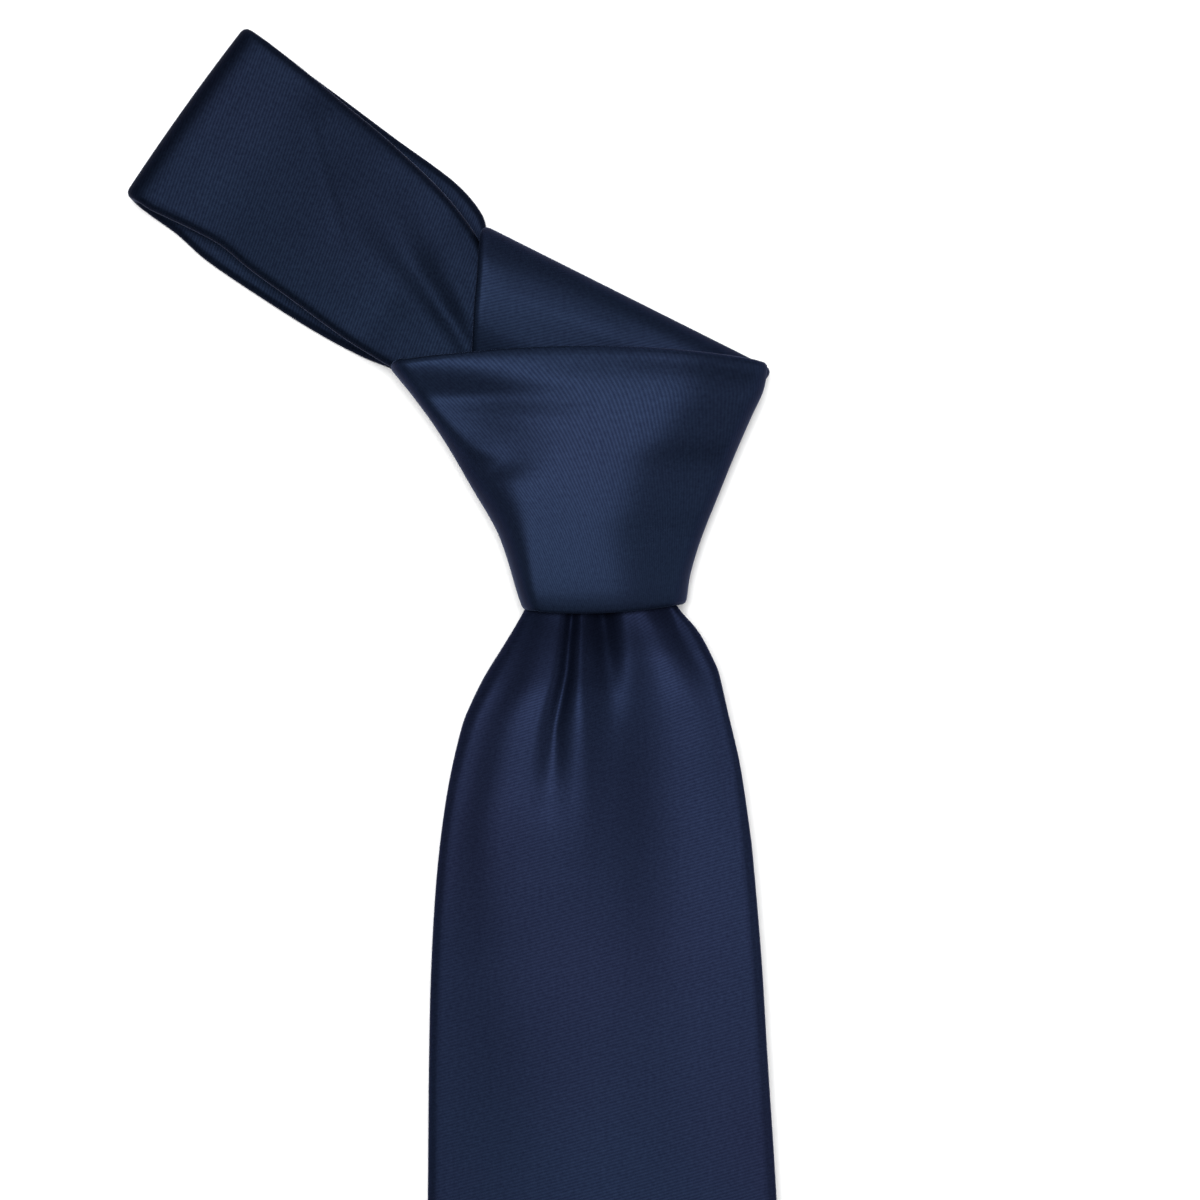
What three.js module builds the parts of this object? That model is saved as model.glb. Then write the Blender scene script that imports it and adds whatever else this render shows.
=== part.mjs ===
// A gentleman's necktie, tied in a four-in-hand knot and laid flat, face up.
// Millimetres. X to the right, Y from the point of the blade towards the neck loop, Z up from the surface.
// The origin is the middle of the knot, on the surface the tie rests on.

import * as THREE from 'three';

// ---- Driving dimensions -------------------------------------------------------------------------

const gap = 0.3; // room left between pieces that touch

// cloth
const shellWall = 0.6; // doubled shell cloth
const liningThick = 1; // woven interlining
const tippingThick = 0.4; // lining cloth at the points
const stripThick = 2.8; // the folded neckband and narrow end
const bladeThick = 3.6; // the folded wide end
const wrapThick = 2.2; // one pass of the wide end round the knot
const threadThick = 0.5;
const seamHalf = 0.75; // half the slit where the folded edges meet at the back

// knot
const knotTop = 21; // highest face of the front wrap
const knotToeTop = 17.5; // the same face at the knot's narrow bottom
const passThick = 3; // a pass that is squeezed inside the knot
const backThick = 3.3; // the passes that the knot rests on
const foldMiddle = new THREE.Vector2(6.3, 34.4); // middle of the fold over the top of the knot
const foldSlope = -26.5; // its slope, degrees
const foldHalf = 24;

// blade, the wide end below the knot
const bladeStart = -29.3;
const bladeShoulder = -423;
const bladeTip = -465.5;
const bladeMouth = -385; // where the folded edges part above the point
const bladeTippingStart = -335;
const keeperAt = -318;
const labelAt = -292;
const careAt = -331;

// tail, the narrow end below the knot
const tailStart = -9;
const tailShoulder = -427;
const tailTip = -450;
const tailMouth = -400;
const tailTippingStart = -372;

// neck loop, drawn small and laid over to the upper left
const loopTurn = 144.5; // direction of the loop from the knot, degrees from X
const creaseMiddle = new THREE.Vector2(-31.5, 35); // where the loop leaves the knot
const loopReach = 53; // from the crease to the start of the far fold
const loopHidden = 26; // strand inside the knot
const loopFarFront = 11; // height of the front strand's middle at the far fold
const loopFarBack = 1.9; // height of the back strand's middle, all along

// ---- Colours ------------------------------------------------------------------------------------

const satin = { color: 0x1b2340, roughness: 0.42, metalness: 0 };
const wool = { color: 0xd9d2c0, roughness: 0.95, metalness: 0 };
const tippingCloth = { color: 0x161c33, roughness: 0.5, metalness: 0 };
const thread = { color: 0x12172b, roughness: 0.8, metalness: 0 };
const woven = { color: 0xe6e4dc, roughness: 0.7, metalness: 0 };

// ---- Shape helpers ------------------------------------------------------------------------------

function lerp(a, b, t) {
  return a + (b - a) * t;
}

// A value read off a short list of [place, value] pairs, eased between neighbours.
function along(pairs, place) {
  const rising = pairs[0][0] < pairs[pairs.length - 1][0];
  const list = rising ? pairs : [...pairs].reverse();
  if (place <= list[0][0]) return list[0][1];
  for (let i = 1; i < list.length; i++) {
    if (place <= list[i][0]) {
      const t = (place - list[i - 1][0]) / (list[i][0] - list[i - 1][0]);
      return lerp(list[i - 1][1], list[i][1], t);
    }
  }
  return list[list.length - 1][1];
}

// A solid through a row of rings; each ring holds its flat outline and its points in space.
function loft(rings) {
  const count = rings[0].points.length;
  const positions = [];
  for (const ring of rings) {
    for (const point of ring.points) positions.push(point.x, point.y, point.z);
  }
  const faces = [];
  for (let i = 0; i < rings.length - 1; i++) {
    for (let j = 0; j < count; j++) {
      const a = i * count + j;
      const b = i * count + (j + 1) % count;
      faces.push([a, b, b + count], [a, b + count, a + count]);
    }
  }
  const last = (rings.length - 1) * count;
  for (const [a, b, c] of THREE.ShapeUtils.triangulateShape(rings[0].outline, [])) faces.push([a, c, b]);
  for (const [a, b, c] of THREE.ShapeUtils.triangulateShape(rings.at(-1).outline, [])) {
    faces.push([last + a, last + b, last + c]);
  }
  const geometry = new THREE.BufferGeometry();
  geometry.setAttribute('position', new THREE.Float32BufferAttribute(positions, 3));
  geometry.setIndex(facingOut(positions, faces).flat());
  geometry.computeVertexNormals();
  return geometry;
}

// The same triangles, turned over if their volume comes out negative.
function facingOut(positions, faces) {
  const corner = (i) => new THREE.Vector3(positions[3 * i], positions[3 * i + 1], positions[3 * i + 2]);
  let volume = 0;
  for (const [a, b, c] of faces) volume += corner(a).dot(corner(b).cross(corner(c)));
  return volume > 0 ? faces : faces.map(([a, b, c]) => [a, c, b]);
}

// A flat outline set in space: u runs across the strip, h through its thickness.
function ring(outline, at, across, up) {
  const points = outline.map(({ x, y }) => at.clone().addScaledVector(across, x).addScaledVector(up, y));
  return { outline, points };
}

// Outline of a plain strip with soft edges.
function plainOutline(half, thick) {
  const soft = Math.min(thick / 2, half / 2);
  const h = thick / 2;
  return [
    [-half + soft, -h], [half - soft, -h], [half, 0], [half - soft, h], [-half + soft, h], [-half, 0],
  ].map(([x, y]) => new THREE.Vector2(x, y));
}

// Outline of shell cloth folded round to the back, where its two edges stop short of the middle.
function foldedOutline(half, thick, wall, slit) {
  const h = thick / 2;
  const soft = Math.min(h, half / 3);
  const inner = soft * 0.75;
  const lip = Math.min(slit, half - soft * 1.2);
  return [
    [lip, -h], [half - soft, -h], [half, 0], [half - soft, h],
    [-half + soft, h], [-half, 0], [-half + soft, -h], [-lip, -h],
    [-lip, -h + wall], [-half + wall + inner, -h + wall], [-half + wall, 0], [-half + wall + inner, h - wall],
    [half - wall - inner, h - wall], [half - wall, 0], [half - wall - inner, -h + wall], [lip, -h + wall],
  ].map(([x, y]) => new THREE.Vector2(x, y));
}

const alongX = new THREE.Vector3(1, 0, 0);
const alongZ = new THREE.Vector3(0, 0, 1);

function mesh(name, geometry, finish) {
  const made = new THREE.Mesh(geometry, new THREE.MeshStandardMaterial(finish));
  made.name = name;
  return made;
}

// ---- Blade, the wide end ------------------------------------------------------------------------

const bladeHalf = (y) => along([
  [bladeTip, 1], [bladeShoulder, 42.5], [-138, 33.4], [-92, 31.5], [-74, 30.2], [-59, 28.4],
  [-50, 26.7], [-42, 24.6], [-37, 22.7], [bladeStart, 18.4],
], y);
const bladeMiddle = (y) => along([[bladeTip, 6.3], [-138, -0.4], [-74, -1.6], [-50, -0.8], [bladeStart, 0.2]], y);
const bladeHeight = (y) => along([
  [bladeTip, 6.5], [-400, 9.2], [-320, 10.5], [-260, 10.7], [-138, 10.7], [-92, 11.2], [-59, 11.8], [bladeStart, 12.2],
], y);
const bladePlaces = [
  bladeStart, -33, -37, -42, -50, -59, -74, -92, -138, -200, -260, -320, -360, bladeMouth, -400, -412,
  bladeShoulder, -436, -449, -459, bladeTip,
];

function bladeAt(y, drop = 0) {
  return new THREE.Vector3(bladeMiddle(y), y, bladeHeight(y) + drop);
}

function bladeShell() {
  const rings = bladePlaces.map((y) => {
    const half = bladeHalf(y);
    const opened = y < bladeMouth ? (bladeMouth - y) / (bladeMouth - bladeShoulder) : 0;
    const slit = seamHalf + Math.min(opened, 1) * (half - 10);
    const cut = y < bladeShoulder ? Math.max(half - 9, half * 0.4) : slit;
    return ring(foldedOutline(half, bladeThick, shellWall, cut), bladeAt(y), alongX, alongZ);
  });
  return loft(rings);
}

function bladeLayer(from, to, inset, thick, drop) {
  const places = bladePlaces.filter((y) => y < from - 1 && y > to + 1);
  const rings = [from, ...places, to].map((y) => {
    const half = Math.max(bladeHalf(y) - inset, 1.2);
    return ring(plainOutline(half, thick), bladeAt(y, drop), alongX, alongZ);
  });
  return loft(rings);
}

const bladeInside = bladeThick / 2 - shellWall; // from the blade's middle to the inside of its shell
const bladeInterlining = () => bladeLayer(
  bladeStart - 1, bladeTip + 6, 3.2, liningThick, bladeInside - gap - liningThick / 2,
);
const bladeTipping = () => bladeLayer(
  bladeTippingStart, bladeTip + 8, 4.2, tippingThick, bladeInside - 2 * gap - liningThick - tippingThick / 2,
);

// A thread that lies in the slit between the folded edges.
function bladeThread() {
  const places = [-45, -74, -100, -138, -200, -260, -320, bladeMouth + 6];
  const drop = -bladeThick / 2 + shellWall / 2;
  return loft(places.map((y) => ring(plainOutline(threadThick / 2, threadThick), bladeAt(y, drop), alongX, alongZ)));
}

// A small flat piece on the back of the blade.
function bladePatch(y, half, height, thick, shift = 0) {
  const drop = -bladeThick / 2 - gap - thick / 2;
  const rings = [y + height / 2, y - height / 2].map((place) => {
    const at = bladeAt(place, drop).add(new THREE.Vector3(shift, 0, 0));
    return ring(plainOutline(half, thick), at, alongX, alongZ);
  });
  return loft(rings);
}

// The keeper is a band of shell cloth that hangs a little off the blade's back.
const keeperHalf = 29;
const keeperHeight = 12;
const keeperThick = 0.8;
const keeperSlack = 2.5;

function keeperLoop() {
  const middle = bladeMiddle(keeperAt);
  const back = bladeHeight(keeperAt) - bladeThick / 2 - gap - keeperThick / 2;
  const drops = [[-keeperHalf, 0], [-keeperHalf + 4, 0], [-keeperHalf + 8, 0.9], [0, 1],
    [keeperHalf - 8, 0.9], [keeperHalf - 4, 0], [keeperHalf, 0]];
  const alongY = new THREE.Vector3(0, 1, 0);
  return loft(drops.map(([x, share]) => {
    const at = new THREE.Vector3(middle + x, keeperAt, back - share * keeperSlack);
    return ring(plainOutline(keeperHeight / 2, keeperThick), at, alongY, alongZ);
  }));
}

// A bar of close stitches over each end of the keeper.
function keeperTack(side) {
  const back = bladeHeight(keeperAt) - bladeThick / 2 - 2 * gap - keeperThick - threadThick / 2;
  const rings = [1, -1].map((end) => {
    const at = new THREE.Vector3(bladeMiddle(keeperAt) + side * (keeperHalf - 1.6), keeperAt + end * 4.5, back);
    return ring(plainOutline(0.8, threadThick), at, alongX, alongZ);
  });
  return loft(rings);
}

function blade() {
  const group = new THREE.Group();
  group.add(mesh('blade_shell', bladeShell(), satin));
  group.add(mesh('blade_interlining', bladeInterlining(), wool));
  group.add(mesh('blade_tipping', bladeTipping(), tippingCloth));
  group.add(mesh('blade_slip_thread', bladeThread(), thread));
  group.add(mesh('blade_bar_tack', bladePatch(bladeMouth + 2, 4, 1.6, threadThick), thread));
  group.add(mesh('keeper_loop', keeperLoop(), satin));
  group.add(mesh('keeper_tack_left', keeperTack(-1), thread));
  group.add(mesh('keeper_tack_right', keeperTack(1), thread));
  group.add(mesh('maker_label', bladePatch(labelAt, 24, 22, 0.5), woven));
  group.add(mesh('care_label', bladePatch(careAt - 12, 9, 26, 0.4, 12), woven));
  return group;
}

// ---- Tail, the narrow end -----------------------------------------------------------------------

const tailHalf = (y) => along([
  [tailTip, 1], [tailShoulder, 23], [-250, 20], [-100, 17.6], [-78, 17], [-50, 10.3], [tailStart, 10.3],
], y);
const tailMiddle = (y) => along([[tailTip, 3.6], [-140, 0.6], [-70, 0], [tailStart, 0]], y);
const tailHeight = (y) => along([[tailTip, 2.7], [tailStart, 5.1]], y);
const tailPlaces = [
  tailStart, -30, -50, -64, -78, -100, -140, -250, -340, tailMouth, -414, tailShoulder, -436, -444, tailTip,
];

function tailAt(y, drop = 0) {
  return new THREE.Vector3(tailMiddle(y), y, tailHeight(y) + drop);
}

function tailShell() {
  const rings = tailPlaces.map((y) => {
    const half = tailHalf(y);
    const opened = y < tailMouth ? (tailMouth - y) / (tailMouth - tailShoulder) : 0;
    const slit = seamHalf + Math.min(opened, 1) * (half - 7);
    const cut = y < tailShoulder ? Math.max(half - 6, half * 0.4) : slit;
    return ring(foldedOutline(half, stripThick, shellWall - 0.1, cut), tailAt(y), alongX, alongZ);
  });
  return loft(rings);
}

function tailLayer(from, to, inset, thick, drop) {
  const places = tailPlaces.filter((y) => y < from - 1 && y > to + 1);
  const rings = [from, ...places, to].map((y) => {
    const half = Math.max(tailHalf(y) - inset, 1.2);
    return ring(plainOutline(half, thick), tailAt(y, drop), alongX, alongZ);
  });
  return loft(rings);
}

const tailInside = stripThick / 2 - shellWall;
const tailLining = 0.7; // the interlining is lighter at the narrow end
const tailTippingThick = 0.25;

const tailInterlining = () => tailLayer(
  tailStart - 1, tailTip + 5, 2.4, tailLining, tailInside - gap + 0.1 - tailLining / 2,
);
const tailTipping = () => tailLayer(
  tailTippingStart, tailTip + 6, 3, tailTippingThick, tailInside - 0.35 - tailLining - tailTippingThick,
);

function tailThread() {
  const places = [-30, -50, -78, -100, -140, -250, tailMouth + 6];
  const drop = -stripThick / 2 + shellWall / 2;
  return loft(places.map((y) => ring(plainOutline(threadThick / 2, threadThick), tailAt(y, drop), alongX, alongZ)));
}

function tailTack() {
  const drop = -stripThick / 2 - gap - threadThick / 2;
  const rings = [tailMouth + 2.8, tailMouth + 1.2].map(
    (y) => ring(plainOutline(3, threadThick), tailAt(y, drop), alongX, alongZ),
  );
  return loft(rings);
}

function tail() {
  const group = new THREE.Group();
  group.add(mesh('tail_shell', tailShell(), satin));
  group.add(mesh('tail_interlining', tailInterlining(), wool));
  group.add(mesh('tail_tipping', tailTipping(), tippingCloth));
  group.add(mesh('tail_slip_thread', tailThread(), thread));
  group.add(mesh('tail_bar_tack', tailTack(), thread));
  return group;
}

// ---- Neck loop ----------------------------------------------------------------------------------

const loopAngle = THREE.MathUtils.degToRad(loopTurn);
const outward = new THREE.Vector3(Math.cos(loopAngle), Math.sin(loopAngle), 0);
const sideways = new THREE.Vector3(Math.sin(loopAngle), -Math.cos(loopAngle), 0);
const strandHalf = (t) => along([
  [-loopHidden, 13], [0, 13.5], [10, 14.9], [20, 17.6], [30, 18.6], [loopReach, 18.8],
], t);
const frontHeight = (t) => along([
  [-loopHidden, 12], [0, 12], [10, 12.2], [20, 12.8], [38, 12.8], [loopReach, loopFarFront],
], t);
const backHeight = () => loopFarBack;
const strandPlaces = [-loopHidden, -12, 0, 5, 10, 14, 18, 22, 26, 30, 38, 46, loopReach];

function loopAt(t, z, side = 0) {
  return new THREE.Vector3(creaseMiddle.x, creaseMiddle.y, z)
    .addScaledVector(outward, t)
    .addScaledVector(sideways, side);
}

// One strand: the shell's slit faces the inside of the loop, so the front strand's slit faces down.
function strandShell(height, facing, shift) {
  const up = new THREE.Vector3(0, 0, facing);
  return loft(strandPlaces.map((t) => {
    const outline = foldedOutline(strandHalf(t), stripThick, shellWall - 0.1, seamHalf);
    return ring(outline, loopAt(t, height(t), shift), sideways, up);
  }));
}

function strandInterlining(height, shift) {
  const places = [-loopHidden + 1, ...strandPlaces.slice(1)];
  return loft(places.map(
    (t) => ring(plainOutline(strandHalf(t) - 2.4, liningThick), loopAt(t, height(t), shift), sideways, alongZ),
  ));
}

function strandThread(height, facing, shift) {
  const lift = -facing * (stripThick / 2 - shellWall / 2);
  return loft([-12, 0, 10, 18, 26, 38, loopReach - 1].map((t) => {
    const outline = plainOutline(threadThick / 2, threadThick);
    return ring(outline, loopAt(t, height(t) + lift, shift), sideways, alongZ);
  }));
}

// The far fold turns the strip over from the front strand to the back strand.
function farFold(makeOutline) {
  const radius = (loopFarFront - loopFarBack) / 2;
  const middle = (loopFarFront + loopFarBack) / 2;
  const steps = 10;
  const start = loopReach + gap + 0.2;
  const rings = [];
  for (let i = 0; i <= steps; i++) {
    const turn = Math.PI * (0.5 - i / steps);
    const at = loopAt(start + radius * Math.cos(turn), middle + radius * Math.sin(turn), lerp(0.8, -0.8, i / steps));
    const up = outward.clone().multiplyScalar(Math.cos(turn)).addScaledVector(alongZ, Math.sin(turn));
    rings.push(ring(makeOutline(), at, sideways, up));
  }
  return loft(rings);
}

const foldShell = () => farFold(() => foldedOutline(18.8, stripThick, shellWall - 0.1, seamHalf));
const foldInterlining = () => farFold(() => plainOutline(16.4, liningThick));

function neckLoop() {
  const group = new THREE.Group();
  group.add(mesh('neckband_front_shell', strandShell(frontHeight, 1, 0.8), satin));
  group.add(mesh('neckband_back_shell', strandShell(backHeight, -1, -0.8), satin));
  group.add(mesh('neckband_fold_shell', foldShell(), satin));
  group.add(mesh('neckband_front_interlining', strandInterlining(frontHeight, 0.8), wool));
  group.add(mesh('neckband_back_interlining', strandInterlining(backHeight, -0.8), wool));
  group.add(mesh('neckband_fold_interlining', foldInterlining(), wool));
  group.add(mesh('neckband_front_slip_thread', strandThread(frontHeight, 1, 0.8), thread));
  group.add(mesh('neckband_back_slip_thread', strandThread(backHeight, -1, -0.8), thread));
  return group;
}

// ---- Knot ---------------------------------------------------------------------------------------

const wrapLeft = (y) => along([
  [-25.3, -13.2], [-23, -16], [-14.6, -18.8], [-1.7, -25.3], [7.5, -30.7], [15.1, -36], [21.4, -40.8],
], y);
const wrapRight = (y) => along([
  [-25.3, 13.6], [-23, 15.8], [-11.4, 18.6], [-2.8, 22], [5.3, 25.3], [12.8, 28.6], [21.4, 31.2],
], y);
const wrapTop = (y) => along([[-25.3, knotToeTop], [5, knotTop], [21.4, knotTop - 0.8]], y);
const legLeft = (y) => along([[6, backThick + gap], [15, 10], [20, 14.6]], y);
const legRight = (y) => along([[12, backThick + gap], [21.4, 9]], y);

// The wide end's pass across the front, turned back down both sides of the knot.
function frontWrap() {
  const places = [21.4, 15.1, 7.5, -1.7, -14.6, -23, -25.3];
  return loft(places.map((y) => {
    const left = wrapLeft(y);
    const right = wrapRight(y);
    const top = wrapTop(y);
    const soft = 3;
    const outline = [
      [left, legLeft(y)], [left, top - soft], [left + 1, top - 1], [left + soft, top],
      [right - soft, top], [right - 1, top - 1], [right, top - soft], [right, legRight(y)],
      [right - wrapThick, legRight(y)], [right - wrapThick, top - wrapThick - 1],
      [right - wrapThick - 1, top - wrapThick], [left + wrapThick + 1, top - wrapThick],
      [left + wrapThick, top - wrapThick - 1], [left + wrapThick, legLeft(y)],
    ].reverse().map(([x, z]) => new THREE.Vector2(x, z));
    // the upper and lower edges bow, and the side legs stay level with them
    const bow = (x) => 1 - ((2 * x - left - right) / (right - left)) ** 2;
    const rise = y > 20 ? 3.9 : y < -25 ? -1 : 0;
    const points = outline.map(({ x, y: z }) => new THREE.Vector3(x, y + rise * bow(x), z));
    return { outline, points };
  }));
}

const slope = THREE.MathUtils.degToRad(foldSlope);
const foldAlong = new THREE.Vector3(Math.cos(slope), Math.sin(slope), 0);
const foldDown = new THREE.Vector3(Math.sin(slope), -Math.cos(slope), 0);

// The last pass: up behind the knot, over its top, down behind the front wrap and out as the blade.
function lastPass() {
  const low = 5.1; // above the loop's back strand
  const high = 15.5; // over its front strand
  const radius = (high - low) / 2;
  const start = new THREE.Vector3(foldMiddle.x, foldMiddle.y, 0);
  const reach = 3.4; // how far the fold bulges past the flat of the pass
  const rings = [];
  rings.push(ring(plainOutline(foldHalf - 4, passThick), start.clone().addScaledVector(foldDown, 16).setZ(low), foldAlong, alongZ));
  const steps = 8;
  for (let i = 0; i <= steps; i++) {
    const turn = Math.PI * (i / steps - 0.5);
    const at = start.clone()
      .addScaledVector(foldDown, passThick / 2 + reach * (1 - Math.cos(turn)))
      .setZ(low + radius + radius * Math.sin(turn));
    const up = foldDown.clone().multiplyScalar(Math.cos(turn)).addScaledVector(alongZ, -Math.sin(turn));
    rings.push(ring(plainOutline(foldHalf, passThick), at, foldAlong, up));
  }
  const inside = [
    { at: [-1, 18, high], turn: -18, half: 24 },
    { at: [-1, 6, high], turn: -8, half: 20.5 },
    { at: [0, -4, 15.2], turn: 0, half: 16.5 },
    { at: [0, -15, 14.4], turn: 0, half: 13.2 },
    { at: [0.1, -25, 12.5], turn: 0, half: 10.6 },
    { at: [0.1, -28.9, 12.2], turn: 0, half: 14.5 },
  ];
  for (const { at, turn, half } of inside) {
    const angle = THREE.MathUtils.degToRad(turn);
    const across = new THREE.Vector3(Math.cos(angle), Math.sin(angle), 0);
    const outline = plainOutline(half, passThick);
    rings.push(ring(outline, new THREE.Vector3(...at), across, new THREE.Vector3(0, 0, -1)));
  }
  return loft(rings);
}

// The pass behind the narrow end: the flat face that the knot rests on.
function backWrap() {
  const places = [0, -7, -14, -21];
  return loft(places.map((y) => {
    const half = (wrapRight(y) - wrapLeft(y)) / 2 - 1;
    const at = new THREE.Vector3((wrapRight(y) + wrapLeft(y)) / 2, y, backThick / 2);
    return ring(plainOutline(half, backThick), at, alongX, alongZ);
  }));
}

// The first crossing, squeezed between the narrow end and the last pass.
function firstCrossing() {
  const rings = [[-6, 13.5], [-14, 13], [-21.5, 11.5]].map(
    ([y, half]) => ring(plainOutline(half, 3.4), new THREE.Vector3(0, y, 8.9), alongX, alongZ),
  );
  return loft(rings);
}

function knot() {
  const group = new THREE.Group();
  group.add(mesh('knot_front_wrap', frontWrap(), satin));
  group.add(mesh('knot_last_pass', lastPass(), satin));
  group.add(mesh('knot_back_wrap', backWrap(), satin));
  group.add(mesh('knot_first_crossing', firstCrossing(), satin));
  return group;
}

// ---- Necktie ------------------------------------------------------------------------------------

const necktie = new THREE.Group();
necktie.add(knot(), blade(), tail(), neckLoop());

export default necktie;
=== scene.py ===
import math

import bpy
import numpy as np
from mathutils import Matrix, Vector


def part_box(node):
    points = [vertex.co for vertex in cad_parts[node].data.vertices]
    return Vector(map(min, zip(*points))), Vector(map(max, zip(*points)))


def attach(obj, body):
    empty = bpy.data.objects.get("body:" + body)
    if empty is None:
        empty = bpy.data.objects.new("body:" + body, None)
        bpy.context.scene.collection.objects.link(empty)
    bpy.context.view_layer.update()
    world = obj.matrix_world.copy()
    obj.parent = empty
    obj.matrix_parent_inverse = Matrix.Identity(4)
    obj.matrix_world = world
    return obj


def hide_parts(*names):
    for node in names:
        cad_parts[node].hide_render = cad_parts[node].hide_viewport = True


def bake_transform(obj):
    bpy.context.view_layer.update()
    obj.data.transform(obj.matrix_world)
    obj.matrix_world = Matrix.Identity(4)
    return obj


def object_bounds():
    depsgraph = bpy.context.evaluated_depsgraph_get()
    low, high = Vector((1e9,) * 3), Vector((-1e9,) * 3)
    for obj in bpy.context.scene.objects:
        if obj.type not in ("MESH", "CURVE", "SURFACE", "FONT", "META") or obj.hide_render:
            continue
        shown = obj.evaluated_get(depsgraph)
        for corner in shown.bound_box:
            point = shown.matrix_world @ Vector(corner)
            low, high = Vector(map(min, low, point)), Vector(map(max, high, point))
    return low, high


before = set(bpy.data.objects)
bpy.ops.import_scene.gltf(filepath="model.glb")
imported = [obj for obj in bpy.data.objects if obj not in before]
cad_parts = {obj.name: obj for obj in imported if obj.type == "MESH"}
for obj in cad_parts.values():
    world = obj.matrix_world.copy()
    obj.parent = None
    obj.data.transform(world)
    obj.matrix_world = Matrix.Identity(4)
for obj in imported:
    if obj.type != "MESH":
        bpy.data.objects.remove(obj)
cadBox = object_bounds()
mm = 0.001

# the camera, floor and light

view = {
    "centre": (-0.8, -23.0),  # millimetres, what the camera looks at
    "width": 230.0,  # millimetres seen from side to side
    "level": 10.0,  # height at which the width is seen
    "lens": 150.0,
    "sensor": 36.0,
    "farthest": 20.0,  # metres
}


def makeCamera():
    data = bpy.data.cameras.new("camera")
    data.lens = view["lens"]
    data.sensor_width = view["sensor"]
    data.clip_end = view["farthest"]
    camera = bpy.data.objects.new("camera", data)
    height = view["width"] * view["lens"] / view["sensor"] + view["level"]
    camera.location = (view["centre"][0] * mm, view["centre"][1] * mm, height * mm)
    bpy.context.collection.objects.link(camera)
    bpy.context.scene.camera = camera


# metres and watts
stageSet = {
    "floorSize": 6.0,
    "floorDrop": 0.0002,  # gap under the tie
    "floorColour": (0.95, 0.95, 0.95),
    "floorShade": 0.985,  # how dark its faint mottling is
    "key": {"place": (-0.07, 0.10, 1.5), "target": (0, 0, 0.01), "size": 0.42, "power": 24.0},
    "fill": {"place": (0.9, -0.7, 1.6), "target": (0, -0.1, 0), "size": 1.6, "power": 3.0},
    "sideTarget": (0, -0.2, 0),
    "sideAway": 1.6,
    "sideHeight": 0.75,
    "sideSize": 1.1,
    "sidePowers": {0: 9.0, 90: 6.0, 180: 3.0, 270: 5.0},  # by direction in degrees
    "world": 0.17,
}


def areaLight(name, place, target, size, power):
    data = bpy.data.lights.new(name, "AREA")
    data.size = size
    data.energy = power
    light = bpy.data.objects.new(name, data)
    light.location = place
    light.rotation_euler = (Vector(target) - Vector(place)).to_track_quat("-Z", "Y").to_euler()
    bpy.context.collection.objects.link(light)


# shader writing


class Wire:
    # a socket that can stand in a sum or a product

    def __init__(self, tree, socket):
        self.tree = tree
        self.socket = socket

    def join(self, operation, other, turned=False):
        first, second = (other, self) if turned else (self, other)
        return self.tree.add("ShaderNodeMath", {"operation": operation}, {0: first, 1: second})

    def __add__(self, other):
        return self.join("ADD", other)

    def __radd__(self, other):
        return self.join("ADD", other, True)

    def __sub__(self, other):
        return self.join("SUBTRACT", other)

    def __rsub__(self, other):
        return self.join("SUBTRACT", other, True)

    def __mul__(self, other):
        return self.join("MULTIPLY", other)

    def __rmul__(self, other):
        return self.join("MULTIPLY", other, True)


class Finish:
    # one material and its node tree

    def __init__(self, name):
        self.material = bpy.data.materials.new(name)
        self.material.use_nodes = True
        self.nodes = self.material.node_tree.nodes
        self.links = self.material.node_tree.links
        self.shader = self.nodes["Principled BSDF"]

    def add(self, kind, settings=None, inputs=None, output=0):
        node = self.nodes.new(kind)
        for key, value in (settings or {}).items():
            setattr(node, key, value)
        for key, value in (inputs or {}).items():
            self.put(node.inputs[key], value)
        return Wire(self, node.outputs[output])

    def put(self, socket, value):
        if isinstance(value, Wire):
            self.links.new(value.socket, socket)
        else:
            socket.default_value = value

    def set(self, **values):
        for key, value in values.items():
            self.put(self.shader.inputs[key.replace("_", " ")], value)

    def sine(self, value):
        return self.add("ShaderNodeMath", {"operation": "SINE"}, {0: value})

    def noise(self, vector, scale, detail):
        inputs = {"Vector": vector, "Scale": scale, "Detail": detail}
        return self.add("ShaderNodeTexNoise", {}, inputs)

    def stretched(self, vector, scale):
        inputs = {0: vector, 1: scale}
        return self.add("ShaderNodeVectorMath", {"operation": "MULTIPLY"}, inputs)

    def blend(self, factor, first, second):
        settings = {"data_type": "RGBA"}
        inputs = {0: factor, 6: (*first, 1) if isinstance(first, tuple) else first,
                  7: (*second, 1) if isinstance(second, tuple) else second}
        return self.add("ShaderNodeMix", settings, inputs, 2)

    def bump(self, height, strength, distance):
        inputs = {"Height": height, "Strength": strength, "Distance": distance}
        return self.add("ShaderNodeBump", {}, inputs)


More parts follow.
